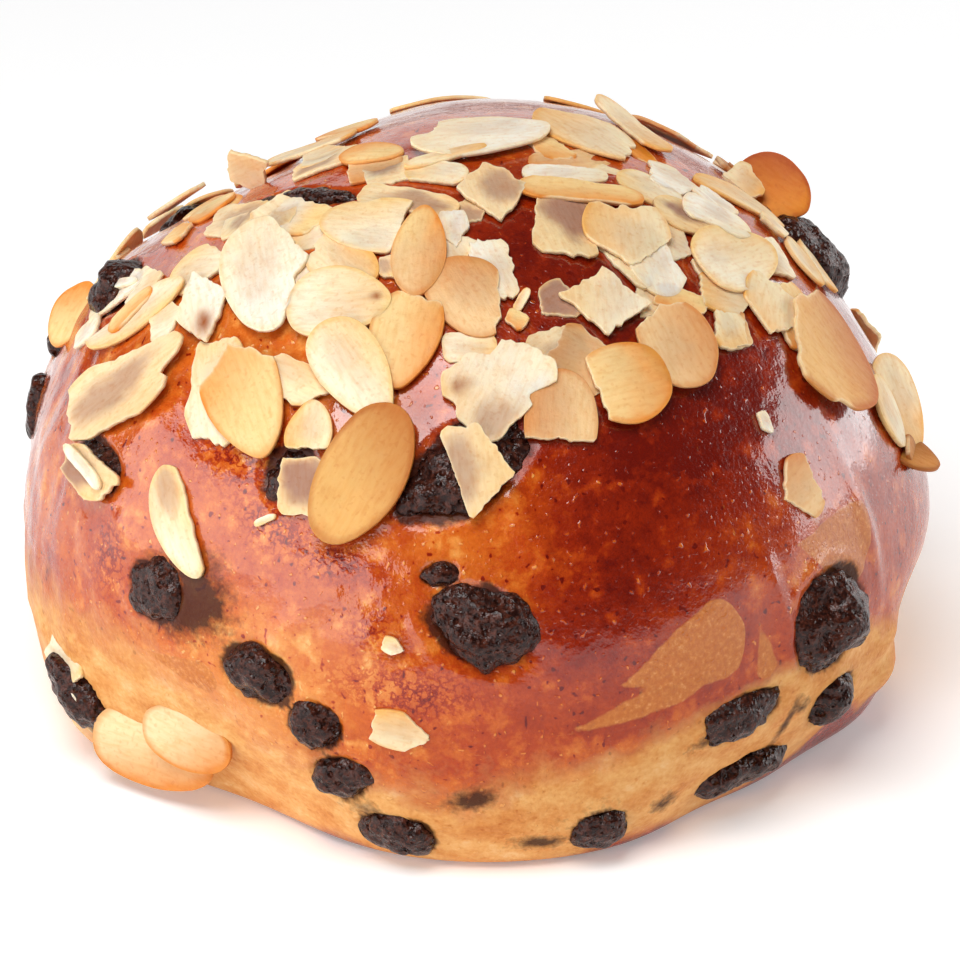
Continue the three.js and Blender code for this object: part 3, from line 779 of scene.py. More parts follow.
# Small crumbs and slivers
CRUMBS = (
    Slice((-43, 14), (5, 6.5), 2.2, Outline.STRIP, (0.7, 0.7), Tone.CREAM),
    Slice((-89, 59), (-80, 51.5), 1.5, Outline.STRIP, (1.0, 1.0), Tone.WHITE),
    Slice((-73, 57), (-72, 50), 3, Outline.STRIP, (0.9, 0.9), Tone.GOLD),
    Slice((95, 50), (86, 55), 3, Outline.STRIP, (0.6, 0.6), Tone.CREAM),
    Slice((88, 41), (89, 46), 3, Outline.CHUNK, (0.8, 0.8), Tone.PALE),
    Slice((80, 31), (75, 37), 1.4, Outline.STRIP, (0.7, 0.7), Tone.WHITE),
    Slice((8, 38.5), (11, 36), 1.2, Outline.STRIP, (0.5, 1.2), Tone.CREAM),
    Slice((5.5, 39.5), (10, 40.5), 2.5, Outline.CHUNK, (0.4, 0.4), Tone.GOLD),
    Slice((76, 75), (79, 80), 3.5, Outline.SHARD, (0.6, 0.6), Tone.TOAST),
    Slice((46, 59), (46.5, 62), 1.6, Outline.CHUNK, (0.3, 0.3), Tone.WHITE),
    Slice((61, 51), (62.5, 55), 3.5, Outline.CHUNK, (0.5, 0.5), Tone.GOLD),
    Slice((-82, 63.5), (-81, 58.3), 4, Outline.CHUNK, (0.3, 0.3), Tone.WHITE),
    Slice((40, 12), (78, 18), 5, Outline.STRIP, (0.0, 0.0), Tone.TAN),
    Slice((-66, 109), (-61, 110.5), 4, Outline.CHUNK, (0.4, 0.4), Tone.TAN),
    Slice((-11, 81), (-7.5, 82), 1.8, Outline.SHARD, (0.2, 0.2), Tone.PALE),
    Slice((-29.5, 69.5), (-27, 68), 0.9, Outline.STRIP, (0.2, 0.2), Tone.PALE),
    Slice((-25, 31), (-20, 34), 2.6, Outline.CHUNK, (0.4, 0.4), Tone.GREY),
    Slice((-19, 35), (-16, 32), 2.2, Outline.SHARD, (0.5, 0.5), Tone.PALE),
    Slice((-61.5, 102.5), (-59.5, 104), 2.2, Outline.CHUNK, (1.6, 1.6), Tone.WHITE),
    Slice((-64.5, 71), (-55, 72.2), 1.8, Outline.STRIP, (1.7, 1.7), Tone.WHITE),
)


@dataclass(frozen=True)
class Chip:
    """A chocolate chip: place, length, width and depth, turn from level towards downhill, and rise."""

    at: Place
    size: tuple[float, float, float]
    turn: float
    rise: float


# Chips at the front, on the sides and on the crown
FRONT_CHIPS = (
    Chip((1, 79), (12.6, 9.6, 9), 20, 2.2),
    Chip((-4.3, 72.6), (5, 2.6, 2.4), -12, 0.5),
    Chip((-26.8, 88.3), (10.8, 8, 8), 10, 1.6),
    Chip((-19, 93.7), (7, 7.2, 6), 0, 1.5),
    Chip((-16, 101), (7.6, 6.4, 6), -25, 1.6),
    Chip((-9, 109), (9.4, 6.6, 6), 0, 1.8),
    Chip((-43.3, 82), (8.8, 8.6, 7), -30, 1.4),
    Chip((-61.5, 104), (11.5, 7, 6), 45, 2.2),
    Chip((-86.5, 55), (10, 8, 8), 0, 2.4),
    Chip((-94.5, 68.5), (5, 4, 4), 0, 1.4),
    Chip((-94, 77.5), (8, 5, 4.5), 90, 1.6),
    Chip((-60, 71.2), (11.5, 7.5, 6), 0, 0.8),
    Chip((-26.5, 62.5), (9, 8, 6), 90, 0.8),
    Chip((-2, 60), (17, 10, 8), -35, 1.6),
    Chip((50.5, 88), (12.5, 13, 10), 90, 3.2),
    Chip((54, 101), (8, 7, 7), 0, 2.2),
    Chip((36, 96.3), (12, 6.4, 7), -8, 1.4),
    Chip((39.5, 108), (12.5, 6.5, 7), -5, 2.2),
    Chip((17, 108.5), (6.5, 6.5, 5), 0, 1.4),
    Chip((-68, 26.5), (15, 3.4, 5), -38, 1.0),
    Chip((100, 53.5), (14.5, 8, 8), 85, 3.0),
)


@dataclass(frozen=True)
class BackRule:
    """The even rule that dresses the back: counts, bands of places and ranges of sizes."""

    slices: int = 20
    slice_azimuths: Span = (112, 250)
    slice_polars: Span = (34, 82)
    slice_lengths: Span = (9, 17)
    slice_widths: Span = (0.52, 0.7)
    slice_lifts: Span = (0.1, 1.2)
    outlines: tuple[Outline, ...] = (
        Outline.WHOLE, Outline.ROUND, Outline.WHOLE, Outline.HALF, Outline.KITE, Outline.CHUNK, Outline.WHOLE,
    )
    slivers: int = 40
    sliver_polars: Span = (37, 78)
    sliver_lengths: Span = (3.5, 9.5)
    sliver_outlines: tuple[Outline, ...] = (
        Outline.CHUNK, Outline.SHARD, Outline.WHOLE, Outline.STRIP, Outline.KITE, Outline.HALF, Outline.CHUNK,
    )
    tones: tuple[Tone, ...] = (
        Tone.CREAM, Tone.GOLD, Tone.PALE, Tone.TAN, Tone.CREAM,
        Tone.MAUVE, Tone.CARAMEL, Tone.PALE, Tone.WHITE,
    )
    chips: int = 12
    chip_azimuths: Span = (118, 250)
    chip_polars: Span = (48, 108)
    chip_lengths: Span = (6.5, 13)
    chip_width: float = 0.76
    chip_depth: float = 0.66
    chip_turns: Span = (-60, 60)
    chip_rises: Span = (0.9, 2.2)
    overlap: float = 0.36
    place_step: float = 0.618
    length_step: float = 0.7549
    turn_step: float = 0.5698
    width_step: float = 0.4142
    start_step: float = 0.7321
    end_step: float = 0.2361

    @staticmethod
    def stepped(limits: Span, i: int, share: float) -> float:
        """Value between limits for the i-th thing, by steps of an irrational share of the range."""
        return limits[0] + (limits[1] - limits[0]) * ((i + 0.5) * share % 1.0)

    def cleared(self, place: Place, length: float) -> float:
        """Lift that a slice at a place needs to lie on the chips under it rather than round them.

        Args:
            place: Middle of the slice.
            length: Length of the slice in millimetres.

        Returns:
            The lift in millimetres, 0 where there is no chip.
        """
        lift = 0.0
        for chip in self.back_chips():
            turn = math.acos(min(1.0, float(direction(place) @ direction(chip.at))))
            if turn * Dough().half[1] < self.overlap * (length + chip.size[0]):
                lift = max(lift, chip.rise)
        return lift

    def laid(self, count: int, polars: Span, lengths: Span, outlines: tuple[Outline, ...]) -> Iterator[Slice]:
        """Slices on an even lattice of places on the back, each laid across its place at a turn.

        Args:
            count: How many.
            polars: Band of polar angles.
            lengths: Range of lengths in millimetres.
            outlines: Outlines that take turns.

        Yields:
            The slices.
        """
        for i in range(count):
            azimuth = self.stepped(self.slice_azimuths, i, self.place_step)
            polar = self.stepped(polars, i, 1.0 / count)
            length = self.stepped(lengths, i, self.length_step)
            turn = math.radians(self.stepped((0, 360), i, self.turn_step))
            reach = math.degrees(length / 2.0 / Dough().half[1])
            sideways = reach * math.cos(turn) / math.sin(math.radians(polar))
            downhill = reach * math.sin(turn)
            clear = self.cleared((azimuth, polar), length)
            steps = (self.start_step, self.end_step)
            start_lift, end_lift = (clear + self.stepped(self.slice_lifts, i, step) for step in steps)
            yield Slice(
                (azimuth - sideways, polar - downhill),
                (azimuth + sideways, polar + downhill),
                length * self.stepped(self.slice_widths, i, self.width_step),
                outlines[i % len(outlines)],
                (start_lift, end_lift),
                self.tones[i % len(self.tones)],
            )

    def back_slices(self) -> Iterator[Slice]:
        """Slices on the back."""
        return self.laid(self.slices, self.slice_polars, self.slice_lengths, self.outlines)

    def back_slivers(self) -> Iterator[Slice]:
        """Broken bits between the slices of the back."""
        return self.laid(self.slivers, self.sliver_polars, self.sliver_lengths, self.sliver_outlines)

    def back_chips(self) -> Iterator[Chip]:
        """Chips on the back, on an even lattice of places.

        Yields:
            The chips.
        """
        for i in range(self.chips):
            length = self.stepped(self.chip_lengths, i, self.length_step)
            azimuth = self.stepped(self.chip_azimuths, i, self.place_step)
            yield Chip(
                (azimuth, self.stepped(self.chip_polars, i, 1.0 / self.chips)),
                (length, length * self.chip_width, length * self.chip_depth),
                self.stepped(self.chip_turns, i, self.turn_step),
                self.stepped(self.chip_rises, i, self.width_step),
            )


class Nodes:
    """Builds a material's node tree with short calls."""

    NOISE_ROUGHNESS = 0.58
    MIX_COLOURS = (6, 7)
    MIX_RESULT = 2

    def __init__(self, name: str) -> None:
        """Starts a material with its shader and output only.

        Args:
            name: Name of the material.
        """
        self.material = bpy.data.materials.new(name)
        self.material.use_nodes = True
        self.tree = self.material.node_tree
        self.shader = self.tree.nodes["Principled BSDF"]
        self.coordinates = self.tree.nodes.new("ShaderNodeTexCoord")

    def link(self, source: Socket, target: Socket) -> None:
        """Joins two sockets."""
        self.tree.links.new(source, target)

    def feed(self, source: Socket, socket: str) -> None:
        """Joins a value to a socket of the shader."""
        self.link(source, self.shader.inputs[socket])

    def attribute(self, name: str) -> bpy.types.Node:
        """Node that reads what the mesh holds.

        Args:
            name: Name that the mesh holds it under.

        Returns:
            The node.
        """
        node = self.tree.nodes.new("ShaderNodeAttribute")
        node.attribute_name = name
        return node

    def value(self, name: str) -> Socket:
        """Number that the mesh holds under a name."""
        return self.attribute(name).outputs["Fac"]

    def noise(self, size_mm: float, detail: float, stretch: Sequence[float] = (1, 1, 1)) -> Socket:
        """Noise over Object coordinates.

        Args:
            size_mm: Size of its features.
            detail: Its octaves.
            stretch: Scale along x, y and z.

        Returns:
            The socket of its value, from 0 to 1.
        """
        turn = self.tree.nodes.new("ShaderNodeMapping")
        turn.inputs["Scale"].default_value = stretch
        self.link(self.coordinates.outputs["Object"], turn.inputs["Vector"])
        node = self.tree.nodes.new("ShaderNodeTexNoise")
        node.inputs["Scale"].default_value = 1.0 / (size_mm * MM)
        node.inputs["Detail"].default_value = detail
        node.inputs["Roughness"].default_value = self.NOISE_ROUGHNESS
        self.link(turn.outputs["Vector"], node.inputs["Vector"])
        return node.outputs["Fac"]

    def cells(self, size_mm: float) -> Socket:
        """Distance to the nearest point of a scattering, in shares of its spacing.

        Args:
            size_mm: Spacing of the points.

        Returns:
            The socket of the distance.
        """
        node = self.tree.nodes.new("ShaderNodeTexVoronoi")
        node.inputs["Scale"].default_value = 1.0 / (size_mm * MM)
        self.link(self.coordinates.outputs["Object"], node.inputs["Vector"])
        return node.outputs["Distance"]

    def math(self, kind: str, a: Socket, b: Socket | float) -> Socket:
        """Sum, product or other operation of two values.

        Args:
            kind: Blender's name of the operation.
            a: First value.
            b: Second value, a socket or a number.

        Returns:
            The socket of the result.
        """
        node = self.tree.nodes.new("ShaderNodeMath")
        node.operation = kind
        self.link(a, node.inputs[0])
        if isinstance(b, Socket):
            self.link(b, node.inputs[1])
        else:
            node.inputs[1].default_value = b
        return node.outputs["Value"]

    def add(self, a: Socket, b: Socket | float) -> Socket:
        """Sum of two values."""
        return self.math("ADD", a, b)

    def times(self, a: Socket, b: Socket | float) -> Socket:
        """Product of two values."""
        return self.math("MULTIPLY", a, b)

    def swing(self, source: Socket, amount: float) -> Socket:
        """A 0 to 1 value turned into a swing of that amount about nothing."""
        return self.times(self.math("SUBTRACT", source, 0.5), amount)

    def range(self, source: Socket, limits: Span, to: Span) -> Socket:
        """Value mapped from one range to another and clipped.

        Args:
            source: The value.
            limits: Start and end of its range.
            to: Start and end of the new range.

        Returns:
            The socket of the result.
        """
        node = self.tree.nodes.new("ShaderNodeMapRange")
        node.inputs["From Min"].default_value = limits[0]
        node.inputs["From Max"].default_value = limits[1]
        node.inputs["To Min"].default_value = to[0]
        node.inputs["To Max"].default_value = to[1]
        self.link(source, node.inputs["Value"])
        return node.outputs["Result"]

    def ramp(self, source: Socket, stops: Stops) -> Socket:
        """Colour by value.

        Args:
            source: The value.
            stops: Places from 0 to 1 and their colours.

        Returns:
            The socket of the colour.
        """
        node = self.tree.nodes.new("ShaderNodeValToRGB")
        band = node.color_ramp
        while len(band.elements) < len(stops):
            band.elements.new(0.5)
        for element, (place, shade) in zip(band.elements, stops):
            element.position = place
            element.color = (*linear(shade), 1.0)
        self.link(source, node.inputs["Fac"])
        return node.outputs["Color"]

    def mix(self, share: Socket, a: Socket | Shade, b: Socket | Shade, kind: str = "MIX") -> Socket:
        """Mixes two colours.

        Args:
            share: How much of the second colour.
            a: First colour, a socket or a shade.
            b: Second colour, a socket or a shade.
            kind: Blender's name of the mixing.

        Returns:
            The socket of the mixed colour.
        """
        node = self.tree.nodes.new("ShaderNodeMix")
        node.data_type = "RGBA"
        node.blend_type = kind
        self.link(share, node.inputs["Factor"])
        for value, place in zip((a, b), self.MIX_COLOURS):
            if isinstance(value, Socket):
                self.link(value, node.inputs[place])
            else:
                node.inputs[place].default_value = (*linear(value), 1.0)
        return node.outputs[self.MIX_RESULT]

    def bump(self, height: Socket, depth_mm: float, socket: str = "Normal") -> None:
        """Puts a relief of that depth under the shader's light.

        Args:
            height: Height from 0 to 1.
            depth_mm: Depth of a full step.
            socket: Normal of the shader that takes it.
        """
        node = self.tree.nodes.new("ShaderNodeBump")
        node.inputs["Distance"].default_value = depth_mm * MM
        self.link(height, node.inputs["Height"])
        self.feed(node.outputs["Normal"], socket)

    def set(self, **numbers: float) -> None:
        """Sets numbers on the shader's own sockets, underscores standing for spaces."""
        for key, number in numbers.items():
            self.shader.inputs[key.replace("_", " ")].default_value = number


@dataclass(frozen=True)
class Mottle:
    """Noise that swings a value up and down: size in millimetres, octaves and amount."""

    size: float
    detail: float
    amount: float

    def over(self, nodes: Nodes) -> Socket:
        """The swing."""
        return nodes.swing(nodes.noise(self.size, self.detail), self.amount)


@dataclass(frozen=True)
class Fleck:
    """Noise that shows past a level: size in millimetres, octaves, where it starts and ends, and amount."""

    size: float
    detail: float
    limits: Span
    amount: float

    def over(self, nodes: Nodes) -> Socket:
        """The flecks, 0 between them."""
        return nodes.range(nodes.noise(self.size, self.detail), self.limits, (0.0, self.amount))


@dataclass(frozen=True)
class Verge:
    """Ragged edge of a cover that the mesh holds: its mottle, where it starts and is full, and how full."""

    mottle: Mottle
    limits: Span
    full: float

    def over(self, nodes: Nodes, name: str) -> Socket:
        """The cover that the mesh holds under a name, with its edge."""
        cover = nodes.add(nodes.value(name), self.mottle.over(nodes))
        return nodes.range(cover, self.limits, (0.0, self.full))


@dataclass(frozen=True)
class GlazedCrust:
    """Baked crust under an egg glaze, from orange to mahogany, with golden dough below the glaze."""

    stops: Stops = (
        (0.0, (236, 172, 98)),
        (0.2, (224, 138, 60)),
        (0.4, (206, 100, 28)),
        (0.6, (180, 64, 11)),
        (0.8, (144, 34, 4)),
        (1.0, (106, 15, 2)),
    )
    dough_stops: Stops = (
        (0.24, (196, 108, 42)),
        (0.42, (220, 146, 74)),
        (0.58, (234, 174, 104)),
        (0.74, (243, 202, 146)),
    )
    leaf_stops: Stops = (
        (0.4, (196, 110, 42)),
        (0.6, (208, 126, 54)),
        (0.74, (226, 158, 92)),
    )
    chocolate: Shade = (50, 21, 13)
    blotches: tuple[Mottle, ...] = (Mottle(6.0, 4.0, 0.3), Mottle(1.6, 4.0, 0.36), Mottle(0.45, 2.0, 0.2))
    pale_patch: Fleck = Fleck(3.4, 5.0, (0.52, 0.74), -0.36)
    freckle: Fleck = Fleck(0.8, 0.0, (0.75, 0.82), 0.4)
    # Paler specks in the bake are painted glints: tiny highlights of the glaze, put into its colour.
    glint_speck: Fleck = Fleck(0.6, 0.0, (0.24, 0.16), -0.36)
    vein: Grit = (1.3, 3.0)
    vein_limits: Span = (0.0, 0.09)
    vein_bake: Span = (0.5, -0.06)
    fibre: Grit = (5.0, 5.0)
    fibre_stretch: tuple[float, float, float] = (1.0, 1.0, 1.5)
    fibre_tone: Span = (0.16, 0.86)
    crumb: Mottle = Mottle(0.6, 1.0, 0.24)
    dough_bake: float = -0.25
    wash: Verge = Verge(Mottle(3.4, 4.0, 4.4), (-1.2, 1.4), 1.0)
    leaf: Verge = Verge(Mottle(1.6, 2.0, 0.7), (-0.12, 0.16), 0.88)
    leaf_grain: Grit = (0.6, 2.0)
    leaf_thins: float = 0.3
    stain: Verge = Verge(Mottle(0.9, 3.0, 0.7), (0.3, 0.75), 0.9)
    stain_thins: float = 0.5
    roughness: Span = (0.52, 0.26)
    rough_mottle: Mottle = Mottle(1.5, 2.0, 0.16)
    film: Span = (0.2, 1.0)
    stained: Span = (0.2, 0.7)
    stained_film: Span = (1.0, 0.15)
    blister: Fleck = Fleck(0.6, 0.0, (0.28, 0.18), 0.5)
    wrinkle: Grit = (2.6, 4.0)
    wrinkle_height: float = 1.6
    grit: Grit = (0.5, 2.0)
    depth: float = 0.11
    film_grit: Grit = (0.6, 1.0)
    film_grit_height: float = 0.25
    film_depth: float = 0.065
    coat_roughness: float = 0.06
    coat_ior: float = 1.66
    specular: float = 0.15

    def baked(self, nodes: Nodes) -> Socket:
        """Bake of the mesh with blotches, ragged paler patches, freckles, bright specks painted in as glints,
        and crackled veins.

        Args:
            nodes: The material's node tree.

        Returns:
            The socket of the bake, mostly from 0 to 1.
        """
        total = nodes.value("bake")
        for mark in (*self.blotches, self.pale_patch, self.freckle, self.glint_speck):
            total = nodes.add(total, mark.over(nodes))
        middle = nodes.math("SUBTRACT", nodes.noise(*self.vein), 0.5)
        vein = nodes.range(nodes.math("ABSOLUTE", middle, 0.0), self.vein_limits, self.vein_bake)
        return nodes.add(total, nodes.times(vein, nodes.value("crackle")))

    def colour(self, nodes: Nodes) -> Socket:
        """Colour of the crust: bake, then bare dough below the glaze's edge, leaf patches and stains.

        Args:
            nodes: The material's node tree.

        Returns:
            The socket of how much the glaze covers.
        """
        bake = self.baked(nodes)
        crust = nodes.ramp(bake, self.stops)
        fibre = nodes.range(nodes.noise(*self.fibre, self.fibre_stretch), WHOLE_RANGE, self.fibre_tone)
        fibre = nodes.add(fibre, self.crumb.over(nodes))
        dough = nodes.ramp(nodes.add(fibre, nodes.swing(bake, self.dough_bake)), self.dough_stops)
        wash = self.wash.over(nodes, "wash")
        skin = nodes.mix(wash, dough, crust)
        leaf = self.leaf.over(nodes, "leaf")
        skin = nodes.mix(leaf, skin, nodes.ramp(nodes.noise(*self.leaf_grain), self.leaf_stops))
        stain = self.stain.over(nodes, "stain")
        nodes.feed(nodes.mix(stain, skin, self.chocolate), "Base Color")
        thinner = nodes.add(nodes.times(leaf, self.leaf_thins), nodes.times(stain, self.stain_thins))
        return nodes.math("SUBTRACT", wash, thinner)

    def material(self) -> bpy.types.Material:
        """Bake through the ramp under a film that follows the wrinkles, rougher where there is no glaze.

        Returns:
            The material.
        """
        nodes = Nodes("glazed_crust")
        glaze = self.colour(nodes)
        rough = nodes.range(glaze, WHOLE_RANGE, self.roughness)
        nodes.feed(nodes.add(rough, self.rough_mottle.over(nodes)), "Roughness")
        film = nodes.times(nodes.range(glaze, WHOLE_RANGE, self.film), nodes.value("film"))
        film = nodes.times(film, nodes.range(nodes.value("stain"), self.stained, self.stained_film))
        nodes.feed(film, "Coat Weight")
        wrinkle = nodes.times(nodes.noise(*self.wrinkle), self.wrinkle_height)
        relief = nodes.add(self.blister.over(nodes), wrinkle)
        nodes.bump(nodes.add(nodes.noise(*self.grit), relief), self.depth)
        film_grit = nodes.times(nodes.noise(*self.film_grit), self.film_grit_height)
        nodes.bump(nodes.add(film_grit, relief), self.film_depth, "Coat Normal")
        nodes.set(Coat_Roughness=self.coat_roughness, Coat_IOR=self.coat_ior)
        nodes.set(Specular_IOR_Level=self.specular)
        return nodes.material


@dataclass(frozen=True)
class ToastedAlmond:
    """Cut almond: its own tone from the mesh, with faint grain along it, soft inside and thinly glazed."""

    fibre_stretch: tuple[float, float, float] = (1.0, 4.0, 1.0)
    fibre_scale: float = 9.0
    fibre_detail: float = 6.0
    streak_limits: Span = (0.45, 0.72)
    streak: float = 0.34
    streak_shade: Shade = (236, 196, 142)
    mottle: Fleck = Fleck(1.4, 3.0, (0.5, 0.72), 0.2)
    mottle_shade: Shade = (232, 184, 126)
    pore: Fleck = Fleck(0.5, 0.0, (0.66, 0.76), 0.2)
    pore_shade: Shade = (226, 170, 104)
    rough_limits: Span = (0.3, 0.7)
    roughness: Span = (0.46, 0.62)
    grit: Mottle = Mottle(0.8, 4.0, 1.2)
    depth: float = 0.07
    softness: float = 0.25
    soft_depth: tuple[float, float, float] = (1.4, 0.8, 0.4)
    coat: float = 0.05
    coat_roughness: float = 0.25
    specular: float = 0.18

    def fibres(self, nodes: Nodes) -> Socket:
        """Noise drawn out along the slice's face map.

        Args:
            nodes: The material's node tree.

        Returns:
            The socket of its value, from 0 to 1.
        """
        stretch = nodes.tree.nodes.new("ShaderNodeMapping")
        stretch.inputs["Scale"].default_value = self.fibre_stretch
        nodes.link(nodes.coordinates.outputs["UV"], stretch.inputs["Vector"])
        fibre = nodes.tree.nodes.new("ShaderNodeTexNoise")
        fibre.inputs["Scale"].default_value = self.fibre_scale
        fibre.inputs["Detail"].default_value = self.fibre_detail
        nodes.link(stretch.outputs["Vector"], fibre.inputs["Vector"])
        return fibre.outputs["Fac"]

    def material(self) -> bpy.types.Material:
        """Tone from the mesh, darkened by streaks, mottles and pores.

        Returns:
            The material.
        """
        nodes = Nodes("toasted_almond")
        fibre = self.fibres(nodes)
        streak = nodes.range(fibre, self.streak_limits, (0.0, self.streak))
        colour = nodes.mix(streak, nodes.attribute("tone").outputs["Color"], self.streak_shade, "MULTIPLY")
        colour = nodes.mix(self.mottle.over(nodes), colour, self.mottle_shade, "MULTIPLY")
        colour = nodes.mix(self.pore.over(nodes), colour, self.pore_shade, "MULTIPLY")
        nodes.feed(colour, "Base Color")
        nodes.feed(nodes.range(fibre, self.rough_limits, self.roughness), "Roughness")
        nodes.bump(nodes.add(fibre, self.grit.over(nodes)), self.depth)
        nodes.shader.inputs["Subsurface Radius"].default_value = self.soft_depth
        nodes.set(Subsurface_Weight=self.softness, Subsurface_Scale=MM, Specular_IOR_Level=self.specular)
        nodes.set(Coat_Weight=self.coat, Coat_Roughness=self.coat_roughness)
        return nodes.material


@dataclass(frozen=True)
class BakedChocolate:
    """Chocolate that has boiled a little in the oven: nearly black, pitted, glossy in places."""

    dark: Shade = (36, 15, 11)
    light: Shade = (98, 50, 36)
    scuff: Fleck = Fleck(0.6, 4.0, (0.42, 0.72), 0.8)
    gloss: Grit = (1.6, 3.0)
    gloss_limits: Span = (0.42, 0.6)
    roughness: Span = (0.08, 0.32)
    pit_spacing: float = 1.1
    pit_limits: Span = (0.12, 0.4)
    pit_height: float = 1.4
    grit: Grit = (0.7, 2.0)
    depth: float = 0.26
    specular: float = 0.28

    def material(self) -> bpy.types.Material:
        """Dark brown with paler scuffs, pits and patches of gloss.

        Returns:
            The material.
        """
        nodes = Nodes("baked_chocolate")
        nodes.feed(nodes.mix(self.scuff.over(nodes), self.dark, self.light), "Base Color")
        nodes.feed(nodes.range(nodes.noise(*self.gloss), self.gloss_limits, self.roughness), "Roughness")
        pits = nodes.range(nodes.cells(self.pit_spacing), self.pit_limits, (0.0, self.pit_height))
        nodes.bump(nodes.add(pits, nodes.noise(*self.grit)), self.depth)
        nodes.set(Specular_IOR_Level=self.specular)
        return nodes.material


@dataclass(frozen=True)
class ChipForm:
    """Where a chip sits: its middle, its three axes as rows, and its half sizes."""

    middle: np.ndarray
    axes: np.ndarray
    half: np.ndarray

    @classmethod
    def of(cls, chip: Chip, dough: Dough) -> "ChipForm":
        """Form of a chip sunk in the crust.

        Args:
            chip: The chip.
            dough: The dough that it is baked into.

        Returns:
            The form.
        """
        spot = dough.spot(chip.at)
        turn = math.radians(chip.turn)
        along = spot.level * math.cos(turn) + spot.downhill * math.sin(turn)
        axes = np.stack([along, np.cross(spot.out, along), spot.out])
        half = np.array(chip.size) / 2.0
        return cls(spot.point + spot.out * (chip.rise - half[2]), axes, half)

    def reach(self, points: np.ndarray) -> np.ndarray:
        """How far points lie out from the middle, 1 being the chip's own surface."""
        return np.linalg.norm((points - self.middle) @ self.axes.T / self.half, axis=1)


@dataclass(frozen=True)
class ChocolateChips:
    """All chips as one craggy piece."""

    chips: tuple[Chip, ...]
    dough: Dough
    cells: int = 22
    lump: float = 0.1
    waves: tuple[float, float, float] = (3.1, 2.7, 2.3)
    apart: float = 40.0
    crag: float = 0.2
    crags: Field = Field(1.0, 4.0, 4, Seed.CRAG)
    ridge_level: float = 0.5
    ridges: Field = Field(1.2, 4.0, 3, Seed.RIDGE)
    pit: float = 0.5
    pit_spacing: float = 1.9
    pit_reach: float = 0.34
    floor_clearance: float = 0.8

    def chip_mesh(self, index: int) -> Mesh:
        """One chip: an ellipsoid whose reach swells in slow waves, with crags, ridges and round pits.

        Args:
            index: Number of the chip.

        Returns:
            Its mesh.
        """
        units, faces = BallGrid.lattice(self.cells)
        form = ChipForm.of(self.chips[index], self.dough)
        wx, wy, wz = self.waves
        x, y, z = units.T
        wave = np.sin(wx * x + index) + np.sin(wy * y + 2 * index) * np.cos(wz * z)
        place = units * form.half + self.apart * index
        crag = self.crags.at(place) + self.ridge_level - np.abs(self.ridges.at(place))
        pits = np.exp(-((Grain.cells(place, self.pit_spacing, Seed.PIT) / self.pit_reach) ** 2))
        reach = 1.0 + self.lump * wave + self.crag * crag - self.pit * pits / form.half.mean()
        points = form.middle + (units * reach[:, None] * form.half) @ form.axes
        points[:, 2] = np.maximum(points[:, 2], self.floor_clearance)
        return Mesh(points, faces, {})

    def build(self) -> bpy.types.Object:
        """Builds and dresses the piece.

        Returns:
            The piece.
        """
        mesh = Mesh.joined([self.chip_mesh(index) for index in range(len(self.chips))])
        nodes = [f"chip_{index + 1:02d}" for index in range(len(self.chips))]
        return mesh.piece("chocolate_chips", BakedChocolate().material(), Slot.CHOCOLATE, nodes)


def offsets(units: np.ndarray, at: Place, turn: float = 0.0) -> tuple[np.ndarray, np.ndarray]:
    """How far unit vectors lie to the right of a place and downhill of it, in degrees.

    Each is the arc tangent of a vector's part that way over its part towards the place.

    Args:
        units: Rows of unit vectors.
        at: The place.
        turn: Turn of the two directions in degrees, from right towards downhill.

    Returns:
        Degrees along the first and along the second direction.
    """
    middle = direction(at)
    level = unit(np.cross([0.0, 0.0, 1.0], middle) + NEARLY_NONE)
    downhill = np.cross(level, middle)
    ahead = units @ middle
    right = np.degrees(np.arctan2(units @ level, ahead))
    down = np.degrees(np.arctan2(units @ downhill, ahead))
    c, s = math.cos(math.radians(turn)), math.sin(math.radians(turn))
    return right * c + down * s, down * c - right * s


@dataclass(frozen=True)
class Blot:
    """A soft patch on the crust: place, half reach across and down in degrees, turn, and amount."""

    at: Place
    reach: Span
    turn: float
    amount: float

    def over(self, units: np.ndarray) -> np.ndarray:
        """Amount of the patch at unit vectors, a bell over the distance in reaches."""
        right, down = offsets(units, self.at, self.turn)
        return self.amount * bell(np.hypot(right / self.reach[0], down / self.reach[1]))


@dataclass(frozen=True)
class Leaf:
    """A sharp patch of thin glaze: middle, half length and width in degrees, and turn of its blunt end."""

    at: Place
    half: Span
    turn: float
    past: float = 1.4
    flare: float = 0.7
    blunt: int = 6
    pointed: int = 2
    mm_per_degree: float = 0.92

    def inside(self, units: np.ndarray) -> np.ndarray:
        """Distance inside the patch in millimetres: it widens from a pointed end to a blunt one.

        With t the way along from -1 to 1, the half width is (1 plus flare t) times (1 minus a power of t).

        Args:
            units: Rows of unit vectors.

        Returns:
            Distances, below 0 outside.
        """
        along, across = offsets(units, self.at, self.turn)
        way = np.clip(along / self.half[0], -self.past, self.past)
        closing = np.where(way > 0.0, 1.0 - way**self.blunt, 1.0 - way**self.pointed)
        width = self.half[1] * (1.0 + self.flare * way) * closing
        return (width - np.abs(across)) * self.mm_per_degree


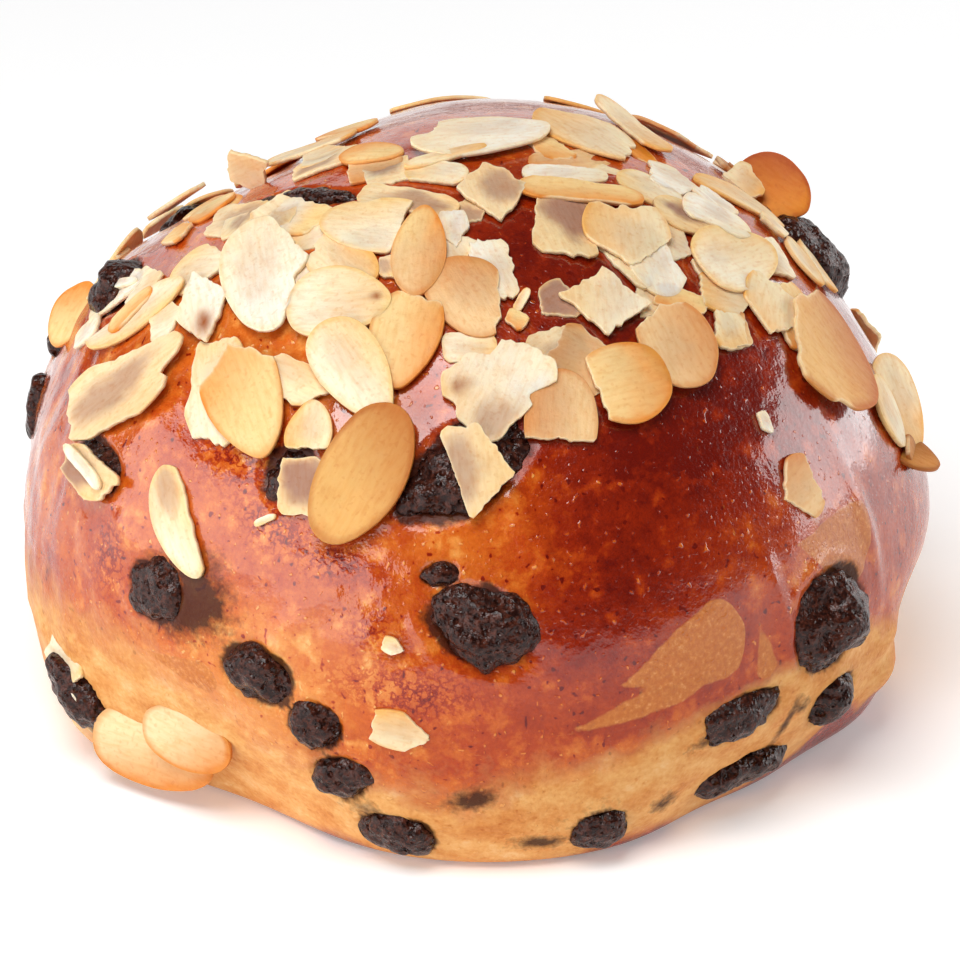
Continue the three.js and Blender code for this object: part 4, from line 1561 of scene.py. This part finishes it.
@dataclass(frozen=True)
class Pocket:
    """How the crust meets a chip: sunk inside it, creased just outside it, with a low lip beyond, all uneven.

    Places are reaches from the chip's middle, 1 being its own surface.
    """

    uneven: float = 0.12
    depth: float = 1.4
    wall: Span = (0.7, 1.0)
    crease: float = 0.28
    crease_at: float = 1.03
    crease_width: float = 0.08
    lip: float = 0.15
    lip_uneven: float = 0.3
    lip_at: float = 1.24
    lip_width: float = 0.14

    def over(self, reach: np.ndarray, uneven: np.ndarray) -> np.ndarray:
        """Height of the crust round a chip: lip minus wall minus crease, crease and lip being humps.

        Args:
            reach: Reaches from the chip's middle.
            uneven: Noise from -1 to 1 at the same points.

        Returns:
            Heights in millimetres.
        """
        reach = reach + self.uneven * uneven
        wall = self.depth * (1.0 - eased(*self.wall, reach))
        crease = self.crease * np.exp(-(((reach - self.crease_at) / self.crease_width) ** 2))
        lip = np.exp(-(((reach - self.lip_at) / self.lip_width) ** 2))
        return (self.lip + self.lip_uneven * uneven) * lip - wall - crease


@dataclass(frozen=True)
class Crust:
    """The dough's baked skin: relief, pockets round the chips, bake, glaze edge, thin patches and stains."""

    dough: Dough
    chips: tuple[Chip, ...]
    cells: int = 126
    pocket: Pocket = Pocket()
    uneven: Field = Field(1.0, 4.0, 3, Seed.POCKET)
    swell: Field = Field(0.35, 17.0, 2, Seed.SWELL)
    ripple: Field = Field(0.26, 6.0, 3, Seed.RIPPLE)
    ripple_calm: float = 0.4
    ripple_left: float = 0.8
    left_front: Span = (8.0, -24.0)
    left_back: Span = (-178.0, -130.0)
    flank_front: Span = (-50.0, -68.0)
    flank_back: Span = (-150.0, -112.0)
    flank_top: Span = (50.0, 64.0)
    flank_ridges: Field = Field(0.22, 3.2, 2, Seed.STREAK, (1.0, 1.0, 0.2))
    flank_streaks: Field = Field(0.26, 2.4, 3, Seed.STREAK, (1.0, 1.0, 0.16))
    fibres: Field = Field(0.2, 2.4, 3, Seed.FIBRE, (0.4, 0.4, 1.0))
    fibre_edge: Span = (1.0, -3.0)
    relief_heights: Span = (2.0, 8.0)
    crown_bake: float = 0.7
    side_bake: float = 0.62
    side_polars: Span = (52.0, 92.0)
    bake_mottle: Field = Field(0.1, 12.0, 3, Seed.MOTTLE, (1.0, 1.0, 2.4))
    foot_bake: float = 0.86
    foot_edge: Span = (-0.6, 0.8)
    foot_wander: Field = Field(0.7, 5.0, 3, Seed.FOOT)
    foot_drop: float = 0.8
    sole_heights: Span = (0.5, 0.05)
    edge_polar: float = 93.0
    edge_wander: Field = Field(2.6, 13.0, 3, Seed.EDGE)
    edge_soft: float = 0.3
    edge_crisp: float = 0.4
    crisp_front: Span = (4.0, 14.0)
    crisp_back: Span = (150.0, 110.0)
    edge_most: float = 9.0
    leaf_least: float = -4.0
    bleed: Field = Field(1.0, 2.6, 3, Seed.BLEED)
    halo: float = 0.9
    halo_reach: Span = (1.22, 1.0)
    halo_uneven: float = 0.14
    smear_level: float = 0.9
    smear_uneven: float = 0.5
    film_polars: Span = (76.0, 94.0)
    film_loss: float = 0.7
    edge_swells: tuple[Swell, ...] = (
        (-6, 11, 7), (-26, 8, 6), (20, 13, 3.5), (-62, 26, -1), (48, 8, -5), (66, 8, 2),
        (120, 9, -4), (150, 11, 7), (176, 8, -4), (205, 13, 6), (238, 9, -4),
    )
    foot_swells: tuple[Swell, ...] = (
        (60, 10, 5.5), (24, 7, 3.0), (76, 7, 6.0), (-17, 6, 2.0),
        (140, 14, 4.0), (-118, 16, 3.5), (180, 12, 2.5),
    )
    blots: tuple[Blot, ...] = (
        Blot((32, 59), (18, 15), 0, 0.38),
        Blot((12, 29), (12, 7), 0, 0.24),
        Blot((180, 28), (60, 18), 0, -0.18),
        Blot((-25, 45), (20, 12), 0, -0.18),
        Blot((-54, 50), (15, 13), 0, -0.16),
        Blot((-58, 72), (34, 16), 0, -0.09),
        Blot((-20, 73), (15, 11), 0, -0.08),
        Blot((0, 69), (7, 5), 0, -0.24),
        Blot((46, 73), (14, 9), 0, -0.2),
        Blot((17, 75), (7, 4), 0, 0.12),
        Blot((72, 70), (18, 12), 0, 0.1),
        Blot((14, 84), (10, 6), 10, 0.1),
        Blot((-14, 86), (14, 5), 0, -0.06),
        Blot((-46, 59), (5, 6), 0, 0.12),
        Blot((-28, 92), (11, 8), 0, -0.32),
        Blot((165, 62), (34, 16), 0, 0.16),
        Blot((-140, 70), (30, 16), 0, -0.12),
    )
    leaves: tuple[Leaf, ...] = (
        Leaf((26.5, 85.6), (9.2, 3.9), -12),
        Leaf((20.2, 90.5), (10.0, 1.5), -14),
        Leaf((38.5, 88), (3.9, 1.1), 80),
        Leaf((52.5, 78.8), (7.6, 4.0), 20),
        Leaf((-39, 91), (6.0, 1.7), 4),
        Leaf((168, 84), (10, 2.6), -20),
        Leaf((-128, 80), (8, 2.4), 24),
    )
    smears: tuple[Blot, ...] = (
        Blot((-38, 80.5), (5.4, 4.6), 0, 1.1),
        Blot((0, 101.5), (2.6, 1.5), -15, 0.85),
        Blot((9.5, 109.5), (3.2, 1.2), 0, 0.8),
        Blot((16, 106), (3.5, 2.4), 0, 0.6),
        Blot((26, 107), (1.6, 1.8), 0, 0.8),
        Blot((44.5, 101), (0.7, 4.5), 12, 0.85),
        Blot((46.5, 98.5), (1.5, 1.3), 0, 0.7),
        Blot((31.5, 97.5), (3.0, 1.0), -20, 0.75),
        Blot((-14, 105.5), (3.0, 1.6), 10, 0.65),
        Blot((165, 100), (4.0, 2.0), 10, 0.75),
        Blot((-140, 96), (3.0, 2.0), 0, 0.7),
    )
    crackles: tuple[Blot, ...] = (
        Blot((-35, 61), (4.5, 3.5), 0, 1.0),
        Blot((-27, 69.5), (4.0, 1.8), 20, 1.0),
        Blot((-18.5, 72), (3.5, 1.6), 0, 0.9),
        Blot((-52, 80), (2.4, 3.6), 0, 0.8),
        Blot((-8, 87), (5.5, 2.2), 5, 0.9),
        Blot((-12, 80), (2.5, 2.0), 0, 0.7),
        Blot((150, 70), (5.0, 4.0), 0, 0.9),
        Blot((-150, 60), (5.0, 4.0), 0, 0.9),
        Blot((-112, 70), (4.0, 4.0), 0, 0.8),
    )
    dulls: tuple[Blot, ...] = (
        Blot((-3, 66), (6.0, 2.5), 0, 0.9),
        Blot((-9, 51.5), (4.0, 4.0), 0, 0.5),
        Blot((7.5, 59.5), (2.5, 3.5), 0, 0.9),
    )
    folds: tuple[Blot, ...] = (
        Blot((-50, 76), (3.4, 3.2), 0, 0.7),
        Blot((6, 66), (1.2, 4.5), -20, 0.5),
        Blot((9, 71), (1.0, 4.0), -15, 0.45),
        Blot((42, 86), (0.9, 6.0), -12, 0.8),
        Blot((45.5, 91), (0.8, 6.0), -10, 0.7),
        Blot((66, 97), (2.4, 2.2), 0, 0.9),
        Blot((69, 103), (2.6, 2.2), 0, 1.1),
        Blot((60, 79), (1.0, 6.5), -10, 0.6),
        Blot((-24, 83), (1.2, 4.0), 30, 0.4),
        Blot((160, 80), (1.2, 6.0), 15, 0.5),
        Blot((-135, 72), (1.2, 6.0), -15, 0.5),
    )

    @staticmethod
    def swells(azimuth: np.ndarray, rows: Sequence[Swell]) -> np.ndarray:
        """Sum over rows of the amount times a bell over each azimuth's way from the middle, in spreads."""
        return sum(amount * bell(turned(azimuth - middle) / spread) for middle, spread, amount in rows)

    @staticmethod
    def most(marks: Sequence[Blot], units: np.ndarray) -> np.ndarray:
        """Largest amount of several patches at unit vectors."""
        return np.max([mark.over(units) for mark in marks], axis=0)

    def flank(self, units: np.ndarray) -> np.ndarray:
        """Share of the left flank, where the glaze has run down in streaks: three smooth steps multiplied.

        Args:
            units: Unit vectors of the grid.

        Returns:
            Shares from 0 to 1.
        """
        azimuth = azimuth_of(units)
        sideways = eased(*self.flank_front, azimuth) * eased(*self.flank_back, azimuth)
        return sideways * eased(*self.flank_top, polar_of(units))

    def relief(self, units: np.ndarray, points: np.ndarray) -> np.ndarray:
        """Height above the bare dome: swells, ripples, folds, ridges, fibres, and a pocket round each chip.

        The ripples are strongest on the left, the ridges lie on the left flank, the fibres below the glaze.
        All of it fades out towards the floor.

        Args:
            units: Unit vectors of the grid.
            points: Points of the bare dome.

        Returns:
            Heights in millimetres.
        """
        azimuth = azimuth_of(units)
        left = eased(*self.left_front, azimuth) * eased(*self.left_back, azimuth)
        height = self.swell.at(points) + self.most(self.folds, units)
        height += (self.ripple_calm + self.ripple_left * left) * self.ripple.at(points)
        height += self.flank(units) * self.flank_ridges.at(points)
        height += eased(*self.fibre_edge, self.edge(units, points)) * self.fibres.at(points)
        uneven = self.uneven.at(points)
        for chip in self.chips:
            height += self.pocket.over(ChipForm.of(chip, self.dough).reach(points), uneven)
        return height * eased(*self.relief_heights, points[:, 2])

    def foot(self, units: np.ndarray, points: np.ndarray) -> np.ndarray:
        """Distance below the top of the glaze that has run to the heel, in millimetres, below 0 above it."""
        height = self.swells(azimuth_of(units), self.foot_swells)
        return height * (1.0 + self.foot_wander.at(points)) - points[:, 2] - self.foot_drop

    def edge(self, units: np.ndarray, points: np.ndarray) -> np.ndarray:
        """Distance above the glaze's lower edge: a level with swells along the azimuth, wandering by noise.

        Args:
            units: Unit vectors of the grid.
            points: Their points on the dome.

        Returns:
            Distances in millimetres, below 0 on the bare dough.
        """
        azimuth = azimuth_of(units)
        edge = self.edge_polar + self.edge_wander.at(points) + self.swells(azimuth, self.edge_swells)
        crisp = self.edge_crisp * eased(*self.crisp_front, azimuth) * eased(*self.crisp_back, azimuth)
        return np.clip((edge - polar_of(units)) * (self.edge_soft + crisp), -self.edge_most, self.edge_most)

    def bake(self, units: np.ndarray, points: np.ndarray) -> np.ndarray:
        """Bake of the skin: it falls from crown to side and takes the patches, streaks and the heel's drips.

        Args:
            units: Unit vectors of the grid.
            points: Their points on the dome.

        Returns:
            Bake from 0 to 1.
        """
        fall = eased(*self.side_polars, polar_of(units))
        bake = self.crown_bake + (self.side_bake - self.crown_bake) * fall
        bake += sum(blot.over(units) for blot in self.blots)
        bake += self.bake_mottle.at(points) + self.flank(units) * self.flank_streaks.at(points)
        bake += (self.foot_bake - bake) * eased(*self.foot_edge, self.foot(units, points))
        return np.clip(bake + (1.0 - bake) * eased(*self.sole_heights, points[:, 2]), 0.0, 1.0)

    def stain(self, units: np.ndarray, points: np.ndarray) -> np.ndarray:
        """Chocolate that has bled into the skin: an uneven halo round each chip, and smears.

        Args:
            units: Unit vectors of the grid.
            points: Their points on the dome.

        Returns:
            Shares from 0 to 1.
        """
        uneven = self.bleed.at(points)
        stain = self.most(self.smears, units) * (self.smear_level + self.smear_uneven * uneven)
        for chip in self.chips:
            reach = ChipForm.of(chip, self.dough).reach(points) + self.halo_uneven * uneven
            stain = np.maximum(stain, self.halo * eased(*self.halo_reach, reach))
        return np.clip(stain, 0.0, 1.0)

    def film(self, units: np.ndarray) -> np.ndarray:
        """Share of the glaze's shine: less towards the heel, and dulled in patches."""
        lost = self.film_loss * eased(*self.film_polars, polar_of(units))
        return (1.0 - lost) * (1.0 - self.most(self.dulls, units))

    def build(self) -> bpy.types.Object:
        """Builds and dresses the piece.

        Returns:
            The piece.
        """
        units, faces = BallGrid.lattice(self.cells)
        points = self.dough.along(units)
        out = unit(units / np.array(self.dough.half) ** 2)
        raised = points + out * self.relief(units, points)[:, None]
        raised[:, 2] = np.maximum(raised[:, 2], 0.0)
        leaf = np.max([leaf.inside(units) for leaf in self.leaves], axis=0)
        values = {
            "bake": self.bake(units, points),
            "wash": np.maximum(self.edge(units, points), self.foot(units, points)),
            "leaf": np.maximum(leaf, self.leaf_least),
            "stain": self.stain(units, points),
            "crackle": self.most(self.crackles, units),
            "film": self.film(units),
        }
        return Mesh(raised, faces, values).piece("crust", GlazedCrust().material(), Slot.CRUST, ["bun"])


@dataclass(frozen=True)
class Toasting:
    """How toast, breaks, soaked glaze and brown spots colour a slice."""

    stain_shade: Shade = (158, 84, 36)
    clear_shade: Shade = (166, 122, 106)
    broken_shade: Shade = (250, 226, 186)
    shadow: float = 0.94
    shadow_swing: float = 0.08
    spread: float = 3.0
    seed_step: float = 7.0
    blotch: Field = Field(1.0, 1.6, 3, Seed.BLOTCH)
    end_limits: Span = (-0.5, 0.6)
    end_ragged: float = 0.3
    turn_step: float = 137.5
    side: float = 0.8
    side_limits: Span = (-0.6, 1.0)
    side_ragged: float = 0.25
    rim: float = 0.65
    rim_limits: Span = (0.84, 1.0)
    rim_ragged: float = 0.06
    soak_shift: float = 0.2
    soak_reach: Span = (0.6, 0.55)
    soak_limits: Span = (0.55, 1.2)
    soak_ragged: float = 0.3
    soak_rim: float = 0.6
    soak: float = 0.72
    soak_most: float = 0.92
    broken: float = 0.6
    broken_limits: Span = (0.93, 1.0)

    def soaked(
        self, almond: Slice, along: np.ndarray, across: np.ndarray, ragged: np.ndarray, seed: int
    ) -> np.ndarray:
        """Share of the slice's clear part: 1 minus a smooth step of the distance from its middle in reaches.

        Args:
            almond: The slice.
            along: Way along from -1 to 1.
            across: Way across from -1 to 1.
            ragged: What makes the edge of the part ragged.
            seed: Places the part where the slice doesn't.

        Returns:
            Shares from 0 to 1.
        """
        shift = (self.soak_shift * math.sin(seed), self.soak_shift * math.cos(seed))
        u, v, reach_u, reach_v = almond.soak or (*shift, *self.soak_reach)
        away = np.hypot((along - u) / reach_u, (across - v) / reach_v)
        return 1.0 - eased(*self.soak_limits, away + ragged)

    def over(self, almond: Slice, share: np.ndarray, broken: np.ndarray, seed: int) -> np.ndarray:
        """Colour over a slice: pale face to toasted side, toasted rim, pale breaks, soaked part and spot.

        Args:
            almond: The slice.
            share: Along and across from -1 to 1, and how far out from 0 to 1.
            broken: 1 on spokes where the rim is broken.
            seed: Chooses the noise and, unless the slice says, the toasted side.

        Returns:
            Rows of linear colour.
        """
        along, across, out = share.T
        depth = np.full(len(along), self.seed_step * seed)
        blotch = self.blotch.at(np.stack([along * self.spread, across * self.spread, depth], axis=1))
        way = eased(*self.end_limits, along + self.end_ragged * blotch)
        end_tone = almond.end_tone or almond.tone
        pairs = zip(almond.tone.value[:2], end_tone.value[:2])
        face, toasted = (blended(linear(start)[None], end, way) for start, end in pairs)
        clear = almond.tone.value[2] + (end_tone.value[2] - almond.tone.value[2]) * way
        turn = math.radians(self.turn_step * seed if almond.toast_way is None else almond.toast_way)
        ahead = along * math.cos(turn) + across * math.sin(turn)
        side = eased(*self.side_limits, ahead + self.side_ragged * blotch)
        rim = eased(*self.rim_limits, out + self.rim_ragged * blotch)
        toast = np.clip(self.side * side + self.rim * rim * (1.0 - broken), 0.0, 1.0)
        colour = face + (toasted - face) * toast[:, None]
        soaked = self.soaked(almond, along, across, self.soak_ragged * blotch, seed)
        soaked = clear * soaked * (1.0 - self.soak_rim * rim)
        colour = blended(colour, self.clear_shade, np.clip(self.soak * soaked, 0.0, self.soak_most))
        colour = blended(colour, self.broken_shade, self.broken * broken * eased(*self.broken_limits, out))
        if almond.stain:
            u, v, size = almond.stain
            colour = blended(colour, self.stain_shade, bell(np.hypot(along - u, across - v) / size))
        return np.clip(colour * (self.shadow + self.shadow_swing * blotch[:, None]), 0.0, 1.0)


@dataclass(frozen=True)
class AlmondSlices:
    """All slices of one kind as one piece: thin plates, tapered at the grown edge and blunt where broken."""

    name: str
    slices: tuple[Slice, ...]
    dough: Dough
    nodes: tuple[str, ...] = ()
    spokes: int = 64
    grow: float = 1.12
    thick: float = 0.56
    pressed: float = 0.25
    taper: float = 0.15
    taper_limits: Span = (0.84, 1.0)
    taper_lost: float = 0.75
    bend: Span = (-0.01, 0.014)
    twist: Span = (-0.013, 0.013)
    warp: Field = Field(0.26, 7.0, 2, Seed.WARP)
    warp_step: float = 11.0
    upper_rings: tuple[float, ...] = (0.3, 0.55, 0.74, 0.87, 0.95, 0.985, 1.0)
    lower_rings: tuple[float, ...] = (1.0, 0.98, 0.6)
    face_map: float = 20.0
    face_map_steps: Span = (0.37, 0.61)
    wear: RimWear = RimWear()
    toasting: Toasting = Toasting()

    def frame_of(self, almond: Slice) -> tuple[np.ndarray, np.ndarray, float]:
        """Middle, axes and length of a slice.

        The slice lies along the chord between its lifted ends; a flat one rests on the crust under its
        middle, and a rolled one stands on its lower edge.

        Args:
            almond: The slice.

        Returns:
            The middle, the axes along, across and out as rows, and the length.
        """
        start = self.dough.spot(almond.start)
        end = self.dough.spot(almond.end)
        a = start.point + start.out * almond.lift[0]
        b = end.point + end.out * almond.lift[1]
        length = float(np.linalg.norm(b - a))
        along = (b - a) / length
        normal = unit(start.out + end.out)
        out = unit(normal - along * (normal @ along))
        across = np.cross(out, along)
        roll = math.radians(almond.roll)
        c, s = math.cos(roll), math.sin(roll)
        out, across = out * c - across * s, across * c + out * s
        if almond.roll:
            stand = almond.width / 2.0 * abs(s)
            middle = (a + b) / 2.0 + normal * (stand - self.pressed)
        else:
            middle_way = unit(direction(almond.start) + direction(almond.end))
            under = self.dough.along(middle_way[None])[0]
            middle = under + normal * (sum(almond.lift) / 2.0 - self.pressed)
        return middle + out * self.thick / 2.0, np.stack([along, across, out]), length

    def curl(self, x: np.ndarray, y: np.ndarray, seed: int) -> np.ndarray:
        """Height of a slice's mid-plane: bends times x and y squared, a twist times x y, and a warp of noise.

        Args:
            x: Way along in millimetres.
            y: Way across in millimetres.
            seed: Chooses the bends, the twist and the warp.

        Returns:
            Heights in millimetres.
        """
        bend_x = BackRule.stepped(self.bend, seed, BackRule.place_step)
        bend_y = BackRule.stepped(self.bend, seed, BackRule.length_step)
        twist = BackRule.stepped(self.twist, seed, BackRule.turn_step)
        warp = self.warp.at(np.stack([x, y, np.full(len(x), self.warp_step * seed)], axis=1))
        return warp + twist * x * y - bend_x * x * x - bend_y * y * y

    def slice_mesh(self, almond: Slice, seed: int) -> Mesh:
        """One slice: rings of its rim shrunk towards the middle above and below, cupped and twisted a little.

        Args:
            almond: The slice.
            seed: Chooses its edge, bend and blotches.

        Returns:
            Its mesh.
        """
        middle, axes, length = self.frame_of(almond)
        angles = np.arange(self.spokes) * 2.0 * math.pi / self.spokes
        rim, broken = almond.outline.rim(angles, almond.cuts, almond.bites, seed, self.wear)
        shares = np.array([*self.upper_rings, *self.lower_rings])
        upper = np.concatenate([np.ones(len(self.upper_rings)), -np.ones(len(self.lower_rings))])
        flat = (rim[None] * shares[:, None, None]).reshape(-1, 2)
        flat = np.concatenate([[[0.0, 0.0]], flat, [[0.0, 0.0]]])
        far = np.concatenate([[0.0], np.repeat(shares, self.spokes), [0.0]])
        blunt = np.concatenate([[0.0], np.tile(broken, len(shares)), [0.0]])
        side = np.concatenate([[1.0], np.repeat(upper, self.spokes), [-1.0]])
        thin = 1.0 - self.taper * (1.0 - self.taper_lost * blunt) * eased(*self.taper_limits, far)
        x = flat[:, 0] * length * self.grow / 2.0
        y = flat[:, 1] * almond.width * self.grow / 2.0
        z = side * thin * self.thick / 2.0 + self.curl(x, y, seed)
        points = middle + np.stack([x, y, z], axis=1) @ axes
        tone = self.toasting.over(almond, np.concatenate([flat, far[:, None]], axis=1), blunt, seed)
        uv = np.stack([x, y], axis=1) / self.face_map + np.array(self.face_map_steps) * seed
        return Mesh(points, self.plate_faces(len(shares)), {"tone": tone}, uv)

    def plate_faces(self, rings: int) -> list[list[int]]:
        """Faces of a plate: a fan at each middle and quads between rings.

        Args:
            rings: Number of rings from the upper middle to the lower one.

        Returns:
            Faces that point outwards.
        """
        turn = np.arange(self.spokes)
        after = (turn + 1) % self.spokes
        quads = [
            np.stack([turn + s, turn + s + self.spokes, after + s + self.spokes, after + s], axis=1)
            for s in 1 + self.spokes * np.arange(rings - 1)
        ]
        last = 1 + self.spokes * (rings - 1)
        upper = np.stack([np.zeros_like(turn), 1 + turn, 1 + after], axis=1)
        lower = np.stack([np.full_like(turn, last + self.spokes), last + after, last + turn], axis=1)
        return upper.tolist() + np.concatenate(quads).tolist() + lower.tolist()

    def build(self) -> bpy.types.Object:
        """Builds and dresses the piece."""
        mesh = Mesh.joined([self.slice_mesh(almond, seed) for seed, almond in enumerate(self.slices)])
        return mesh.piece(self.name, ToastedAlmond().material(), Slot.CRUST, self.nodes)


def heading(azimuth: float, elevation: float) -> Vector:
    """Way from the bun to something that stands off it: (sin a cos e, -cos a cos e, sin e).

    Args:
        azimuth: Azimuth a in degrees.
        elevation: Elevation e in degrees.

    Returns:
        A vector of length 1.
    """
    a = math.radians(azimuth)
    e = math.radians(elevation)
    return Vector((math.sin(a) * math.cos(e), -math.cos(a) * math.cos(e), math.sin(e)))


@dataclass(frozen=True)
class Softbox:
    """An oblong light: where it stands by azimuth, elevation and distance, its sides and its power."""

    name: str
    azimuth: float
    elevation: float
    distance: float
    sides: Span
    power: float

    def build(self, aim: Vector) -> None:
        """Makes the light and points it at the bun.

        Args:
            aim: Point that it faces, in metres.
        """
        way = heading(self.azimuth, self.elevation)
        data = bpy.data.lights.new(self.name, "AREA")
        data.shape = "RECTANGLE"
        data.size, data.size_y = self.sides
        data.energy = self.power
        lamp = bpy.data.objects.new(self.name, data)
        lamp.location = aim + way * self.distance
        lamp.rotation_euler = way.to_track_quat("Z", "Y").to_euler()
        bpy.context.scene.collection.objects.link(lamp)


@dataclass(frozen=True)
class Studio:
    """Pale floor, soft lights and the camera, in metres."""

    aim: tuple[float, float, float] = (0.0016, 0.0, 0.0257)
    elevation: float = 25.8
    distance: float = 0.6
    lens: float = 182.6
    sensor: float = 36.0
    floor_half: float = 3.0
    floor_drop: float = 0.0003
    floor_shade: Shade = (250, 250, 250)
    floor_roughness: float = 0.8
    floor_specular: float = 0.2
    glow: float = 0.21
    sky: float = 0.04
    boxes: tuple[Softbox, ...] = (
        Softbox("softbox_left", -64, 13, 0.75, (1.34, 0.4), 3.85),
        Softbox("softbox_top", -24, 62, 0.8, (0.5, 0.45), 5.5),
        Softbox("softbox_right", 112, 12, 0.7, (0.7, 0.34), 2.7),
        Softbox("softbox_back", 180, 18, 1.0, (1.7, 0.55), 2.9),
    )

    def build_floor(self) -> None:
        """Makes the floor, which isn't part of the bun."""
        half = self.floor_half
        mesh = bpy.data.meshes.new("floor")
        corners = [(-half, -half), (half, -half), (half, half), (-half, half)]
        mesh.from_pydata([(x, y, -self.floor_drop) for x, y in corners], [], [(0, 1, 2, 3)])
        nodes = Nodes("pale_floor")
        nodes.shader.inputs["Base Color"].default_value = (*linear(self.floor_shade), 1.0)
        nodes.shader.inputs["Emission Color"].default_value = WHITE_LIGHT
        nodes.set(Roughness=self.floor_roughness, Specular_IOR_Level=self.floor_specular)
        nodes.set(Emission_Strength=self.glow)
        mesh.materials.append(nodes.material)
        floor = bpy.data.objects.new("floor", mesh)
        bpy.context.scene.collection.objects.link(floor)

    def build_sky(self) -> None:
        """Makes even white light from all round."""
        world = bpy.data.worlds.new("studio")
        world.use_nodes = True
        back = world.node_tree.nodes["Background"]
        back.inputs["Color"].default_value = WHITE_LIGHT
        back.inputs["Strength"].default_value = self.sky
        bpy.context.scene.world = world

    def build_camera(self) -> None:
        """Makes the camera at the photograph's angle."""
        way = heading(0.0, self.elevation)
        data = bpy.data.cameras.new("camera")
        data.sensor_width = self.sensor
        data.lens = self.lens
        camera = bpy.data.objects.new("camera", data)
        camera.location = Vector(self.aim) + way * self.distance
        camera.rotation_euler = way.to_track_quat("Z", "Y").to_euler()
        bpy.context.scene.collection.objects.link(camera)
        bpy.context.scene.camera = camera

    def build(self) -> None:
        """Builds the whole studio."""
        self.build_floor()
        self.build_sky()
        for box in self.boxes:
            box.build(Vector(self.aim))
        self.build_camera()
        bpy.context.scene.view_settings.view_transform = "Standard"


def main() -> None:
    """Builds the bun and the studio in order."""
    logging.basicConfig(level=logging.INFO, format="%(name)s %(message)s")
    dough = Dough()
    rule = BackRule()
    chips = (*FRONT_CHIPS, *rule.back_chips())
    slices = (*CROWN, *LEFT_SHOULDER, *BROW, *RIGHT_SHOULDER, *LOW, *rule.back_slices(), *TUCKED)
    Crust(dough, chips).build()
    ChocolateChips(chips, dough).build()
    crumbs = (*CRUMBS, *rule.back_slivers())
    AlmondSlices("almond_slices", slices, dough, ("bun",)).build()
    AlmondSlices("almond_crumbs", crumbs, dough, spokes=24, thick=0.6).build()
    Studio().build()


if __name__ == "__main__":
    main()
